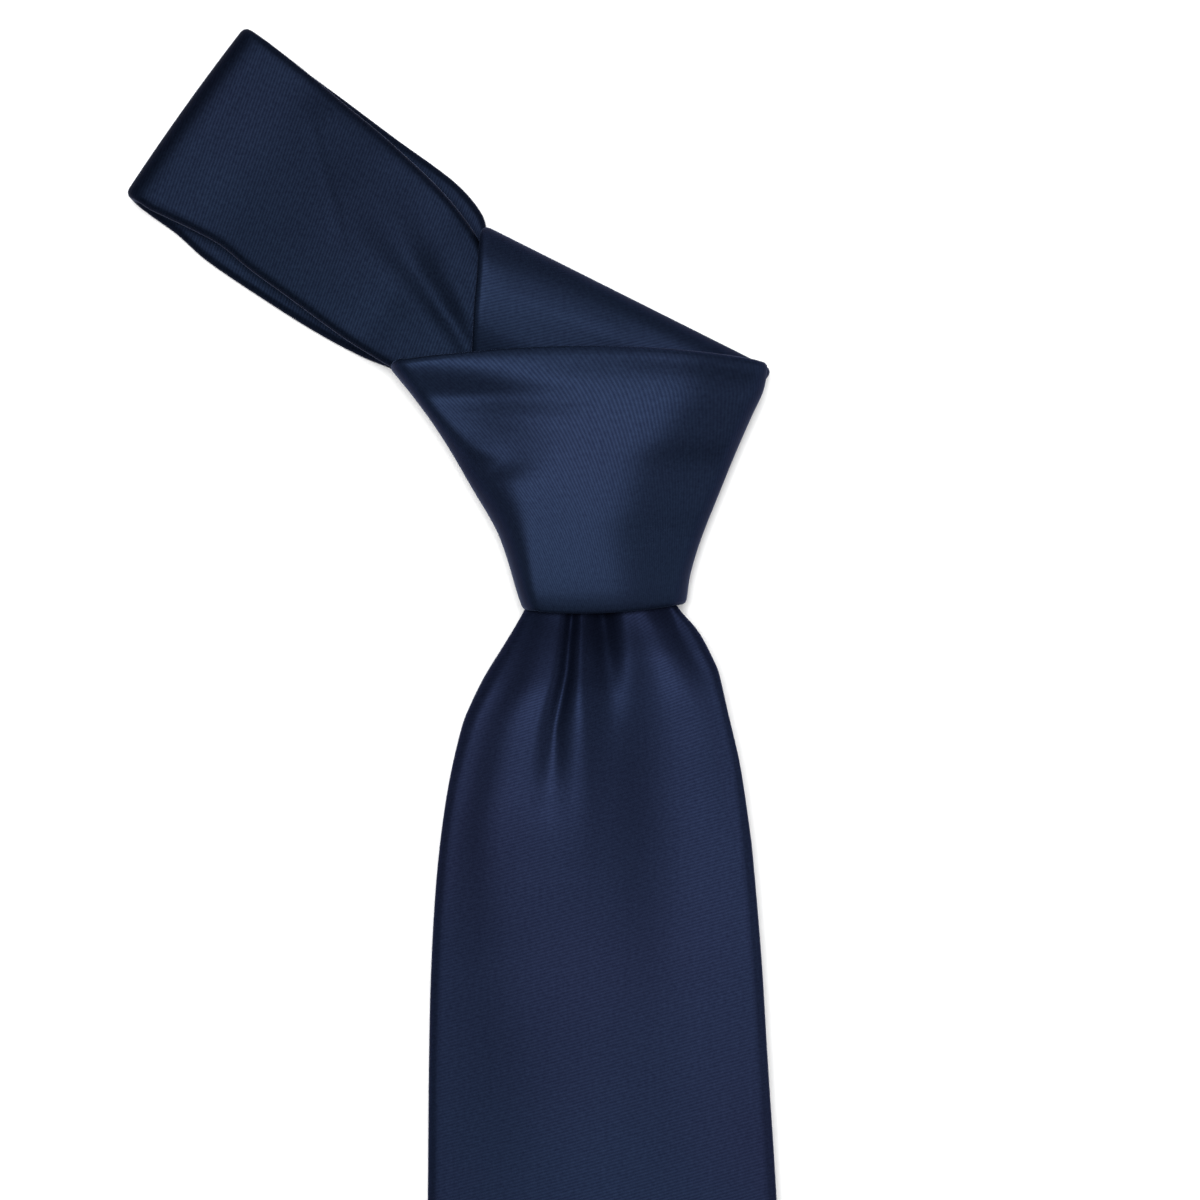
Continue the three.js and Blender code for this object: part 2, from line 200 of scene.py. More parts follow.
satin = {
    "deep": (0.0054, 0.0087, 0.0208),
    "bright": (0.0101, 0.0170, 0.0364),
    "twillPitch": 0.00058,  # metres from line to line
    "twillLean": 15.0,  # degrees from straight across the strip
    "wander": 0.00012,  # how far the twill lines stray, metres
    "wanderScale": 240.0,
    "yarnPitch": 0.00021,
    "slubScale": (900.0, 60.0, 1.0),
    "grainScale": 2600.0,
    "cloudScale": 55.0,
    "mottleScale": 1300.0,
    "driftScale": 17.0,
    "driftGain": 2.6,
    # what each pattern counts for in the colour and in the relief
    "inColour": {"twill": 0.14, "yarn": 0.04, "slub": 0.10, "grain": 0.22, "mottle": 0.40, "cloud": 0.10},
    "inRelief": {"twill": 0.5, "yarn": 0.1, "grain": 0.4, "slub": 0.3},
    "relief": 0.20,
    "reliefDepth": 0.00006,
    "roughness": 0.52,
    "twillGloss": 0.05,  # how much smoother the twill lines are
    "grainDulling": 0.06,
    "metallic": 0.75,
    "specular": 0.15,
    "edgeTint": (0.20, 0.25, 0.42),
    "sheen": 0.10,
    "sheenRoughness": 0.32,
    "sheenTint": (0.16, 0.22, 0.42),
    # how bright each stretch of the strip looks, as satin does when its grain turns: painted sheen and shade,
    # the same satin made lighter or darker in its colour
    "neckPaintedLight": 0.53,
    "passPaintedLight": 0.92,
    "wrapPaintedLight": 1.06,
    "bladePaintedLight": 0.99,
    "tippingTone": 1.25,
    "bladeTint": (1.01, 0.92, 1.0),
    "cool": (0.95, 1.03, 1.01),
    "warm": (1.06, 0.96, 0.99),
    "contrast": 2.4,  # of the grain and slubs in the colour
    "neckContrast": 3.6,
}


def stripPlaces(f):
    # place across and along the strip, in metres of cloth
    uv = f.add("ShaderNodeUVMap", {"uv_map": "UVMap"})
    parts = f.nodes.new("ShaderNodeSeparateXYZ")
    f.links.new(uv.socket, parts.inputs[0])
    return uv, Wire(f, parts.outputs[0]), Wire(f, parts.outputs[1])


def summed(patterns, counts):
    # each pattern times what it counts for
    terms = [patterns[name] * count for name, count in counts.items()]
    total = terms[0]
    for term in terms[1:]:
        total = total + term
    return total


def satinFinish(name, tone, tint=(1, 1, 1), contrast=satin["contrast"]):
    f = Finish(name)

    def shaded(shade, drift):
        ends = []
        for end in ("deep", "bright"):
            # tone paints this stretch's sheen and shade into the deep and bright colours
            ends.append(tuple(c * tone * t * d for c, t, d in zip(satin[end], tint, drift)))
        return f.blend(shade, *ends)

    uv, across, along = stripPlaces(f)
    lean = math.radians(satin["twillLean"])
    wander = (f.noise(uv, satin["wanderScale"], 1.0) - 0.5) * satin["wander"]
    place = along * math.cos(lean) - across * math.sin(lean) + wander
    thread = across * math.cos(lean) + along * math.sin(lean)
    patterns = {
        "twill": f.sine(place * (2 * math.pi / satin["twillPitch"])) * 0.5 + 0.5,
        "yarn": f.sine(thread * (2 * math.pi / satin["yarnPitch"])) * 0.5 + 0.5,
        "slub": f.noise(f.stretched(uv, satin["slubScale"]), 1.0, 2.0),
        "grain": f.noise(uv, satin["grainScale"], 2.0),
        "cloud": f.noise(uv, satin["cloudScale"], 3.0),
        "mottle": f.noise(uv, satin["mottleScale"], 1.0),
    }
    shade = (summed(patterns, satin["inColour"]) - 0.5) * contrast + 0.5
    drift = (f.noise(uv, satin["driftScale"], 1.0) - 0.5) * satin["driftGain"] + 0.5
    f.set(Base_Color=f.blend(drift, shaded(shade, satin["cool"]), shaded(shade, satin["warm"])))
    gloss, dulling = patterns["twill"] * satin["twillGloss"], patterns["grain"] * satin["grainDulling"]
    f.set(Roughness=satin["roughness"] - gloss + dulling)
    f.set(Metallic=satin["metallic"])
    f.shader.inputs["Specular IOR Level"].default_value = satin["specular"]
    f.shader.inputs["Specular Tint"].default_value = (*satin["edgeTint"], 1)
    f.shader.inputs["Sheen Weight"].default_value = satin["sheen"]
    f.shader.inputs["Sheen Roughness"].default_value = satin["sheenRoughness"]
    f.shader.inputs["Sheen Tint"].default_value = (*satin["sheenTint"], 1)
    height = summed(patterns, satin["inRelief"])
    f.set(Normal=f.bump(height, satin["relief"], satin["reliefDepth"]))
    return f.material


cloths = {
    "woolInterlining": {
        "dark": (0.52, 0.47, 0.36), "light": (0.78, 0.73, 0.62),
        "pitch": 0.0009, "roughness": 0.95, "relief": 0.8},
    "labelCloth": {
        "dark": (0.62, 0.60, 0.54), "light": (0.80, 0.78, 0.72),
        "pitch": 0.0004, "roughness": 0.7, "relief": 0.5},
    "careRibbon": {
        "dark": (0.74, 0.74, 0.73), "light": (0.86, 0.86, 0.85),
        "pitch": 0.0003, "roughness": 0.45, "relief": 0.3},
}
fuzzScale = 1500.0


def clothFinish(name):
    # a plain weave
    cloth = cloths[name]
    f = Finish(name)
    uv, across, along = stripPlaces(f)
    turn = 2 * math.pi / cloth["pitch"]
    weave = f.sine(across * turn) * f.sine(along * turn) * 0.5 + 0.5
    fuzz = f.noise(uv, fuzzScale, 3.0)
    f.set(Base_Color=f.blend(weave * 0.5 + fuzz * 0.5, cloth["dark"], cloth["light"]))
    f.set(Roughness=cloth["roughness"] - 0.05 + fuzz * 0.1)
    f.set(Normal=f.bump(weave * 0.7 + fuzz * 0.5, cloth["relief"], 0.0001))
    return f.material


threads = {
    "navyThread": {"dark": (0.006, 0.008, 0.020), "light": (0.022, 0.028, 0.062)},
    "paleThread": {"dark": (0.55, 0.53, 0.48), "light": (0.80, 0.78, 0.72)},
}
twistScale = 4200.0


def threadFinish(name):
    f = Finish(name)
    place = f.add("ShaderNodeTexCoord", {}, {}, "Object")
    twist = f.noise(f.stretched(place, (1.0, 1.6, 1.0)), twistScale, 2.0)
    f.set(Base_Color=f.blend(twist, threads[name]["dark"], threads[name]["light"]))
    f.set(Roughness=0.55 + twist * 0.2)
    f.set(Normal=f.bump(twist, 0.5, 0.00008))
    return f.material


def floorFinish():
    f = Finish("paleFloor")
    place = f.add("ShaderNodeTexCoord", {}, {}, "Object")
    mottle = f.noise(place, 3.0, 2.0)
    colour = stageSet["floorColour"]
    f.set(Base_Color=f.blend(mottle, colour, tuple(c * stageSet["floorShade"] for c in colour)))
    f.set(Roughness=0.85)
    return f.material


# curves and sheets


def slopesOf(knots):
    count = len(knots)
    slopes = np.zeros((count, count))
    for i in range(count):
        low, high = max(i - 1, 0), min(i + 1, count - 1)
        slopes[i, high] += 1 / (knots[high] - knots[low])
        slopes[i, low] -= 1 / (knots[high] - knots[low])
    return slopes


def weights(knots, places):
    # what each knot's value counts for at each place on a smooth curve through them
    knots = np.asarray(knots, float)
    places = np.clip(np.asarray(places, float), knots[0], knots[-1])
    i = np.clip(np.searchsorted(knots, places, side="right") - 1, 0, len(knots) - 2)
    step = (knots[i + 1] - knots[i])[:, None]
    t = (places - knots[i])[:, None] / step
    unit, slopes = np.eye(len(knots)), slopesOf(knots)
    start = (2 * t**3 - 3 * t**2 + 1) * unit[i] + step * (t**3 - 2 * t**2 + t) * slopes[i]
    end = (3 * t**2 - 2 * t**3) * unit[i + 1] + step * (t**3 - t**2) * slopes[i + 1]
    return start + end


def curve(pairs, places):
    # values read off a smooth curve through (place, value) pairs
    pairs = sorted(pairs, key=lambda pair: pair[0])
    knots = [pair[0] for pair in pairs]
    values = np.array([pair[1] for pair in pairs], float)
    return weights(knots, places) @ values


def curveOver(pairs, grid):
    return curve(pairs, grid.ravel()).reshape(grid.shape)


def patch(control, alongKnots, acrossKnots, along, across):
    # a dense sheet through a net of points: rows run along the strip, columns across it
    net = np.array(control, float)
    rows = np.einsum("ri,ijk->rjk", weights(alongKnots, along), net)
    return np.einsum("cj,rjk->rck", weights(acrossKnots, across), rows)


def folds(x, y, lines):
    # soft ridges and hollows: each runs through points of x, y, width and height
    total = np.zeros_like(x)
    for line in lines:
        nearest = np.full_like(x, np.inf)
        lift = np.zeros_like(x)
        for (x0, y0, w0, h0), (x1, y1, w1, h1) in zip(line, line[1:]):
            dx, dy = x1 - x0, y1 - y0
            length = math.hypot(dx, dy)
            along = ((x - x0) * dx + (y - y0) * dy) / length**2
            inside = np.clip(along, 0, 1)
            past = (along - inside) * length
            side = ((x - x0) * dy - (y - y0) * dx) / length
            width = w0 + (w1 - w0) * inside
            away = side**2 + past**2
            shape = np.exp(-((side / width) ** 2) - (past / (1.5 * width)) ** 2)
            lift = np.where(away < nearest, (h0 + (h1 - h0) * inside) * shape, lift)
            nearest = np.minimum(away, nearest)
        total += lift
    return total


def slopeAcross(x, y, slope):
    # a face that falls from one level to another; its place, width and drop change along the strip
    place, width, drop = (curveOver(slope[key], y) for key in ("place", "width", "drop"))
    return -drop * 0.5 * (1 + np.tanh((x - place) / width))


def unit(vectors):
    return vectors / np.maximum(np.linalg.norm(vectors, axis=-1, keepdims=True), 1e-9)


def normalsOf(grid):
    along = np.gradient(grid, axis=0)
    across = np.gradient(grid, axis=1)
    return unit(np.cross(across, along))


def softened(grid, rounds):
    for _ in range(rounds):
        grid = grid.copy()
        grid[1:-1] = (grid[:-2] + 2 * grid[1:-1] + grid[2:]) / 4
        grid[:, 1:-1] = (grid[:, :-2] + 2 * grid[:, 1:-1] + grid[:, 2:]) / 4
    return grid


def sideArc(face, back, inner, steps):
    # the round of a folded edge, from the face over to the back
    middle, radius = (face + back) / 2, (face - back) / 2
    reach = np.linalg.norm(radius, axis=-1, keepdims=True)
    up = radius / np.maximum(reach, 1e-9)
    out = face - inner
    out = unit(out - (out * up).sum(-1, keepdims=True) * up)
    turns = np.linspace(math.pi / 2, -math.pi / 2, steps + 2)[1:-1]
    return np.stack([middle + radius * math.sin(t) + out * reach * math.cos(t) for t in turns], axis=1)


def backColumns(back, share):
    # points of the back at a share of the half width, for each row and column
    cols = back.shape[1]
    place = np.clip((share + 1) / 2 * (cols - 1), 0, cols - 1)
    low = np.minimum(place.astype(int), cols - 2)
    part = (place - low)[..., None]
    rows = np.arange(back.shape[0])[:, None]
    return back[rows, low] * (1 - part) + back[rows, low + 1] * part


def foldedStrip(face, back, width, length, slit, faceMap=None, arcSteps=5, flapSteps=14):
    # shell cloth folded round a face: the two flaps reach in to the slit, a share of the half width
    rows, cols = face.shape[:2]
    share = 1 - np.linspace(0, 1, flapSteps + 1)[None, 1:] * (1 - slit[:, None])
    rightFlap = backColumns(back, share)
    leftFlap = backColumns(back, -share)[:, ::-1]
    inset = cols // 8 + 1
    rightArc = sideArc(face[:, -1], back[:, -1], face[:, -1 - inset], arcSteps)
    leftArc = sideArc(face[:, 0], back[:, 0], face[:, inset], arcSteps)[:, ::-1]
    leftEdge, rightEdge = back[:, :1], back[:, -1:]
    ring = np.concatenate([leftFlap, leftEdge, leftArc, face, rightArc, rightEdge, rightFlap], axis=1)
    half = width[:, None] / 2
    arc = np.linalg.norm(face[:, -1] - back[:, -1], axis=-1)[:, None] * math.pi / 2
    steps = np.linspace(0, 1, arcSteps + 2)[None, 1:-1]
    under = 1 - np.concatenate([np.ones((rows, 1)), share], axis=1)
    over = np.concatenate([arc * steps, arc + half * under], axis=1)
    if faceMap is None:
        across = np.linspace(-1, 1, cols)[None] * half
        faceMap = np.stack([across, np.repeat(length[:, None], cols, axis=1)], axis=-1)
    rightMap = faceMap[:, -1:] + unit(faceMap[:, -1:] - faceMap[:, -4:-3]) * over[..., None]
    leftMap = faceMap[:, :1] + unit(faceMap[:, :1] - faceMap[:, 3:4]) * over[..., None]
    return ring, np.concatenate([leftMap[:, ::-1], faceMap, rightMap], axis=1)


def meshFrom(name, ring, uv):
    # a mesh over rows of points, in millimetres, facing away from the strip's inside
    rows, cols = ring.shape[:2]
    r, c = np.meshgrid(np.arange(rows - 1), np.arange(cols - 1), indexing="ij")
    low = (r * cols + c).ravel()
    quads = np.stack([low, low + 1, low + cols + 1, low + cols], axis=1)
    mesh = bpy.data.meshes.new(name)
    mesh.from_pydata((ring.reshape(-1, 3) * mm).tolist(), [], quads.tolist())
    flat = mesh.uv_layers.new(name="UVMap")
    corners = np.zeros(len(mesh.loops), int)
    mesh.loops.foreach_get("vertex_index", corners)
    flat.data.foreach_set("uv", (uv.reshape(-1, 2)[corners] * mm).ravel())
    piece = bpy.data.objects.new(name, mesh)
    bpy.context.collection.objects.link(piece)
    mesh.polygons.foreach_set("use_smooth", [True] * len(mesh.polygons))
    mesh.update()
    return piece


def finished(piece, material):
    piece.data.materials.clear()
    piece.data.materials.append(material)


def fitted(piece, material, slot, body, *nodes):
    # the finish, the body that the piece moves with and the plain solids it stands for
    finished(piece, material)
    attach(piece, body)
    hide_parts(*nodes)


def walled(piece, thickness):
    # shell cloth gets its own thickness, inwards
    wall = piece.modifiers.new("wall", "SOLIDIFY")
    wall.thickness = thickness * mm
    wall.offset = -1
    wall.use_rim = True
    return piece


def reach(points):
    # running length along a row of points
    steps = np.linalg.norm(np.diff(points, axis=0), axis=1)
    return np.concatenate([[0], np.cumsum(steps)])


def perRow(value, face):
    # one value, or one for each row, as one for each row
    return np.broadcast_to(np.asarray(value, float), face.shape[:1])


def shell(name, face, depth, width, slit=0.005, wall=0.4, faceMap=None, back=None):
    # folded shell cloth whose back lies at a depth under its face
    if back is None:
        back = face - normalsOf(face) * perRow(depth, face)[:, None, None]
    length = reach(face[:, face.shape[1] // 2])
    ring, uv = foldedStrip(face, back, perRow(width, face), length, perRow(slit, face), faceMap)
    return walled(meshFrom(name, ring, uv), wall), back


def layer(name, face, rows, inset, depth, thick, count=25):
    # a flat cloth inside the shell: inset from its edges, at a depth under its face
    lower = (face - normalsOf(face) * depth)[rows]
    half = np.linalg.norm(lower[:, -1] - lower[:, 0], axis=-1) / 2
    share = np.clip(1 - inset / half, 0.15, 1)
    columns = np.linspace(-1, 1, count)
    grid = np.stack([backColumns(lower, (place * share)[:, None])[:, 0] for place in columns], axis=1)
    across = np.stack([place * share * half for place in columns], axis=1)
    length = reach(grid[:, count // 2])
    uv = np.stack([across, np.repeat(length[:, None], count, axis=1)], axis=-1)
    return walled(meshFrom(name, grid, uv), thick)


# stitches: pitch, length, radius and rise in millimetres, turn in degrees, jitter in radians
sewing = {
    "neckSlip": {"pitch": 5.0, "length": 3.2, "radius": 0.16, "turn": 24, "rise": 0.15, "jitter": 0.1},
    "bladeSlip": {"pitch": 6.0, "length": 3.4, "radius": 0.16, "turn": 26, "rise": -0.25, "jitter": 0.1},
    "tailSlip": {"pitch": 5.5, "length": 3.0, "radius": 0.15, "turn": 26, "rise": -0.2, "jitter": 0.1},
    "bladeTack": {"pitch": 0.32, "length": 2.2, "radius": 0.17, "turn": 90, "rise": -0.5, "jitter": 0.12},
    "keeperTack": {"pitch": 0.34, "length": 2.0, "radius": 0.16, "turn": 90, "rise": -0.4, "jitter": 0.12},
    "tailTack": {"pitch": 0.32, "length": 2.0, "radius": 0.15, "turn": 90, "rise": -0.3, "jitter": 0.12},
    "makerLabel": {"pitch": 2.2, "length": 1.5, "radius": 0.11, "turn": 0, "rise": -0.2, "jitter": 0.03},
    "careLabel": {"pitch": 2.0, "length": 1.4, "radius": 0.11, "turn": 0, "rise": -0.2, "jitter": 0.03},
}


def stitchTree(name, material):
    # short threads along a path
    tree = bpy.data.node_groups.new(name, "GeometryNodeTree")
    sockets = tree.interface
    sockets.new_socket("Geometry", in_out="INPUT", socket_type="NodeSocketGeometry")
    for label in ("Pitch", "Length", "Radius", "Turn", "Rise", "Jitter"):
        sockets.new_socket(label, in_out="INPUT", socket_type="NodeSocketFloat")
    sockets.new_socket("Geometry", in_out="OUTPUT", socket_type="NodeSocketGeometry")
    nodes, links = tree.nodes, tree.links

    def node(kind, settings=None, inputs=None):
        made = nodes.new(kind)
        for key, value in (settings or {}).items():
            setattr(made, key, value)
        for key, value in (inputs or {}).items():
            if isinstance(value, bpy.types.NodeSocket):
                links.new(value, made.inputs[key])
            else:
                made.inputs[key].default_value = value
        return made

    def worked(operation, first, second):
        return node("ShaderNodeMath", {"operation": operation}, {0: first, 1: second}).outputs[0]

    given = node("NodeGroupInput").outputs
    start = node("ShaderNodeCombineXYZ", {}, {0: worked("MULTIPLY", given["Length"], -0.5)}).outputs[0]
    end = node("ShaderNodeCombineXYZ", {}, {0: worked("MULTIPLY", given["Length"], 0.5)}).outputs[0]
    crest = node("ShaderNodeCombineXYZ", {}, {2: given["Rise"]}).outputs[0]
    bow = node("GeometryNodeCurveQuadraticBezier", {}, {
        "Resolution": 5, "Start": start, "Middle": crest, "End": end})
    section = node("GeometryNodeCurvePrimitiveCircle", {}, {"Resolution": 6, "Radius": given["Radius"]})
    thread = node("GeometryNodeCurveToMesh", {}, {
        "Curve": bow.outputs[0], "Profile Curve": section.outputs[0], "Fill Caps": True})
    path = node("GeometryNodeMeshToCurve", {}, {0: given["Geometry"]})
    points = node("GeometryNodeCurveToPoints", {"mode": "LENGTH"}, {
        "Curve": path.outputs[0], "Length": given["Pitch"]})
    facing = node("FunctionNodeAlignRotationToVector", {"axis": "X"}, {"Vector": points.outputs["Tangent"]})
    low = worked("SUBTRACT", given["Turn"], given["Jitter"])
    high = worked("ADD", given["Turn"], given["Jitter"])
    chance = node("FunctionNodeRandomValue", {"data_type": "FLOAT"}, {"Min": low, "Max": high, "Seed": 7})
    turn = node("ShaderNodeCombineXYZ", {}, {2: chance.outputs[1]}).outputs[0]
    turned = node("FunctionNodeRotateRotation", {"rotation_space": "LOCAL"}, {
        "Rotation": facing.outputs[0], "Rotate By": turn})
    laid = node("GeometryNodeInstanceOnPoints", {}, {
        "Points": points.outputs[0], "Instance": thread.outputs[0], "Rotation": turned.outputs[0]})
    real = node("GeometryNodeRealizeInstances", {}, {0: laid.outputs[0]})
    painted = node("GeometryNodeSetMaterial", {}, {"Geometry": real.outputs[0], "Material": material})
    node("NodeGroupOutput", {}, {0: painted.outputs[0]})
    return tree


def stitchesOn(name, path, tree, body, kind, *nodes):
    # a line of stitches as one plain mesh
    mesh = bpy.data.meshes.new(name)
    mesh.from_pydata((np.asarray(path) * mm).tolist(), [(i, i + 1) for i in range(len(path) - 1)], [])
    source = bpy.data.objects.new(name, mesh)
    bpy.context.collection.objects.link(source)
    sew = source.modifiers.new("sew", "NODES")
    sew.node_group = tree
    sizes = {label.capitalize(): size * mm for label, size in sewing[kind].items()}
    sizes["Turn"] = math.radians(sewing[kind]["turn"])
    sizes["Jitter"] = sewing[kind]["jitter"]
    for item in tree.interface.items_tree:
        if item.item_type == "SOCKET" and item.in_out == "INPUT" and item.name in sizes:
            sew[item.identifier] = sizes[item.name]
    bpy.context.view_layer.update()
    ready = source.evaluated_get(bpy.context.evaluated_depsgraph_get())
    made = bpy.data.meshes.new_from_object(ready)
    source.modifiers.clear()
    bpy.data.objects.remove(source)
    made.name = name
    piece = bpy.data.objects.new(name, made)
    bpy.context.collection.objects.link(piece)
    made.polygons.foreach_set("use_smooth", [True] * len(made.polygons))
    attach(piece, body)
    if nodes:
        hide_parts(*nodes)
    return piece


# the stage
bpy.context.scene.view_settings.view_transform = "Standard"
makeCamera()
floorMesh = bpy.data.meshes.new("floor")
edge = stageSet["floorSize"] / 2
level = cadBox[0][2] - stageSet["floorDrop"]
corners = [(-edge, -edge, level), (edge, -edge, level), (edge, edge, level), (-edge, edge, level)]
floorMesh.from_pydata(corners, [], [(0, 1, 2, 3)])
floor = bpy.data.objects.new("floor", floorMesh)
bpy.context.collection.objects.link(floor)
floorMesh.materials.append(floorFinish())
for name in ("key", "fill"):
    areaLight(name + "Light", **stageSet[name])
for direction, power in stageSet["sidePowers"].items():
    a = math.radians(direction)
    away, middle = stageSet["sideAway"], stageSet["sideTarget"]
    place = (away * math.cos(a), away * math.sin(a) + middle[1], stageSet["sideHeight"])
    areaLight("sideLight" + str(direction), place, middle, stageSet["sideSize"], power)
world = bpy.data.worlds.new("studio")
world.use_nodes = True
world.node_tree.nodes["Background"].inputs[0].default_value = (1, 1, 1, 1)
world.node_tree.nodes["Background"].inputs[1].default_value = stageSet["world"]
bpy.context.scene.world = world
print("stage ready")

# the same satin for each stretch, with that stretch's sheen and shade painted into its colour
neckSatin = satinFinish("navySatinNeckband", satin["neckPaintedLight"], contrast=satin["neckContrast"])
passSatin = satinFinish("navySatinPass", satin["passPaintedLight"])
wrapSatin = satinFinish("navySatinWrap", satin["wrapPaintedLight"])
bladeSatin = satinFinish("navySatinBlade", satin["bladePaintedLight"], satin["bladeTint"])
tippingCloth = satinFinish("navyTipping", satin["tippingTone"], satin["bladeTint"])
liningCloth, labelCloth, careCloth = [clothFinish(name) for name in cloths]
navyStitches = stitchTree("navyStitches", threadFinish("navyThread"))
paleStitches = stitchTree("paleStitches", threadFinish("paleThread"))
print("finishes ready")

# the neck loop

neckband = {
    "turn": 144.5,  # direction away from the knot, degrees
    "crease": (-31.5, 35.0),  # where it leaves the knot
    "thick": 2.8,
    "farFold": 54.8,  # where the far fold starts, from the crease
    "foldSquareness": 4.2,  # 2 is a round fold, more is a pressed one
    "crown": 0.35,
    "slit": 0.006,  # share of the half width between the flaps
    "lining": {"inset": 2.6, "depth": 1.0, "thick": 0.9},
    "columns": 45,
    "rows": (84, 18, 104),  # along the front strand, the far fold and the back strand
    "frontEnd": -27.0,
    "backEnd": -48.0,
    "frontHeight": [(-27, 11.4), (-8, 11.8), (2, 12.4), (8, 13.0), (14, 12.9), (24, 12.2), (36, 11.2),
                    (44, 10.7), (50, 10.8), (54.8, 11.2)],
    "backHeight": [(-48, 3.0), (-42, 2.2), (-30, 1.9), (54.8, 1.9)],
    "frontUpper": [(-27, 10.8), (-12, 11), (-2.4, 11.8), (0, 13.3), (5.8, 15.4), (13.3, 17.1), (20.5, 18.2),
                   (27, 19), (35, 19.6), (47, 20.4), (54.8, 20.7)],
    "frontLower": [(-27, -12), (-12, -14.2), (-0.5, -16.4), (6, -17), (11, -17.2), (24, -17), (33, -16.9),
                   (40, -16.4), (46, -17.1), (54.8, -18.7)],
    "backUpper": [(-48, 11), (-36, 13), (-20, 13.5), (-8, 14.5), (0, 15.8), (2.5, 17.8), (7, 19.4),
                  (12.5, 20.2), (25, 20.3), (38, 20.6), (54.8, 20.8)],
    "backLower": [(-48, -10), (-36, -12.5), (-20, -14.5), (-8, -15.5), (-0.5, -16.4), (6, -17.9),
                  (16, -19.2), (28, -19.9), (41.6, -20.2), (49, -19.4), (54.8, -19.4)],
    "foldsFrom": -12.0,  # the knot hides what comes before
    # ridges and hollows of the front strand: x, y, width and height of each point
    "frontFolds": [
        [(-44.5, 54, 5.5, 0.3), (-36.5, 41, 2.6, 0.45), (-29, 30, 2.0, 0.5), (-26, 25, 1.6, 0.4)],
        [(-34, 49, 3.2, -0.2), (-27, 34, 2.4, -0.35)],
        [(-47, 45, 3.8, -0.2), (-34, 30, 2.8, -0.3)],
        [(-55.8, 66.5, 0.9, -0.1), (-50, 45.4, 0.9, -0.1)],
        [(-52, 69, 3.5, 0.35), (-42, 62, 3.0, 0.25)],
    ],
}


def loopDirections():
    a = math.radians(neckband["turn"])
    out = np.array([math.cos(a), math.sin(a), 0.0])
    side = np.array([math.sin(a), -math.cos(a), 0.0])
    return out, side


def neckbandFace():
    # rows from inside the knot, out along the front strand, round the far fold and back behind
    out, side = loopDirections()
    crease = np.array([*neckband["crease"], 0.0])
    half = neckband["thick"] / 2
    far = neckband["farFold"]
    frontRows, foldRows, backRows = neckband["rows"]
    forward = np.linspace(neckband["frontEnd"], far, frontRows)
    backward = np.linspace(far, neckband["backEnd"], backRows)
    turns = np.linspace(0, math.pi, foldRows)[1:-1]
    highZ = curve(neckband["frontHeight"], [far])[0]
    lowZ = curve(neckband["backHeight"], [far])[0]
    radius, middle = (highZ - lowZ) / 2, (highZ + lowZ) / 2
    square = 2 / neckband["foldSquareness"]
    bend = np.abs(np.cos(turns)) ** square * np.sign(np.cos(turns))
    t = np.concatenate([forward, far + radius * np.sin(turns) ** square, backward])
    frontZ, backZ = curve(neckband["frontHeight"], forward), curve(neckband["backHeight"], backward)
    z = np.concatenate([frontZ, middle + radius * bend, backZ])
    turned = np.concatenate([np.zeros(len(forward)), turns, np.full(len(backward), math.pi)])
    share = np.concatenate([np.zeros(len(forward)), turns / math.pi, np.ones(len(backward))])
    upper = (1 - share) * curve(neckband["frontUpper"], t) + share * curve(neckband["backUpper"], t)
    lower = (1 - share) * curve(neckband["frontLower"], t) + share * curve(neckband["backLower"], t)
    up = np.cos(turned)[:, None] * np.array([0, 0, 1.0]) + np.sin(turned)[:, None] * out
    columns = np.linspace(0, 1, neckband["columns"])
    s = (lower + half)[:, None] + (upper - lower - 2 * half)[:, None] * columns[None]
    centre = crease + t[:, None] * out
    centre[:, 2] = z
    crown = neckband["crown"] * (1 - (2 * columns - 1) ** 2)[None, :, None]
    grid = centre[:, None] + s[..., None] * side + up[:, None] * (half + crown)
    front = np.clip(1 - share * 3, 0, 1) * (t > neckband["foldsFrom"])
    grid[..., 2] += folds(grid[..., 0], grid[..., 1], neckband["frontFolds"]) * front[:, None]
    return grid, upper - lower


neckFace, neckWidth = neckbandFace()
neckbandShell, neckBack = shell("neckbandShell", neckFace, neckband["thick"], neckWidth, neckband["slit"])
neckbandNodes = ("neckband_front_shell", "neckband_fold_shell", "neckband_back_shell")
fitted(neckbandShell, neckSatin, "shell_satin", "neck_loop", *neckbandNodes)
neckLining = layer("neckbandInterlining", neckFace, slice(4, -4), **neckband["lining"])
liningNodes = [node.replace("shell", "interlining") for node in neckbandNodes]
fitted(neckLining, liningCloth, "interlining", "neck_loop", *liningNodes)
seamPath = neckBack[4:-30:2, neckBack.shape[1] // 2]
neckStitches = stitchesOn(
    "neckbandSlipStitches", seamPath, navyStitches, "neck_loop", "neckSlip",
    "neckband_front_slip_thread", "neckband_back_slip_thread")
print("neck loop ready")

# the knot

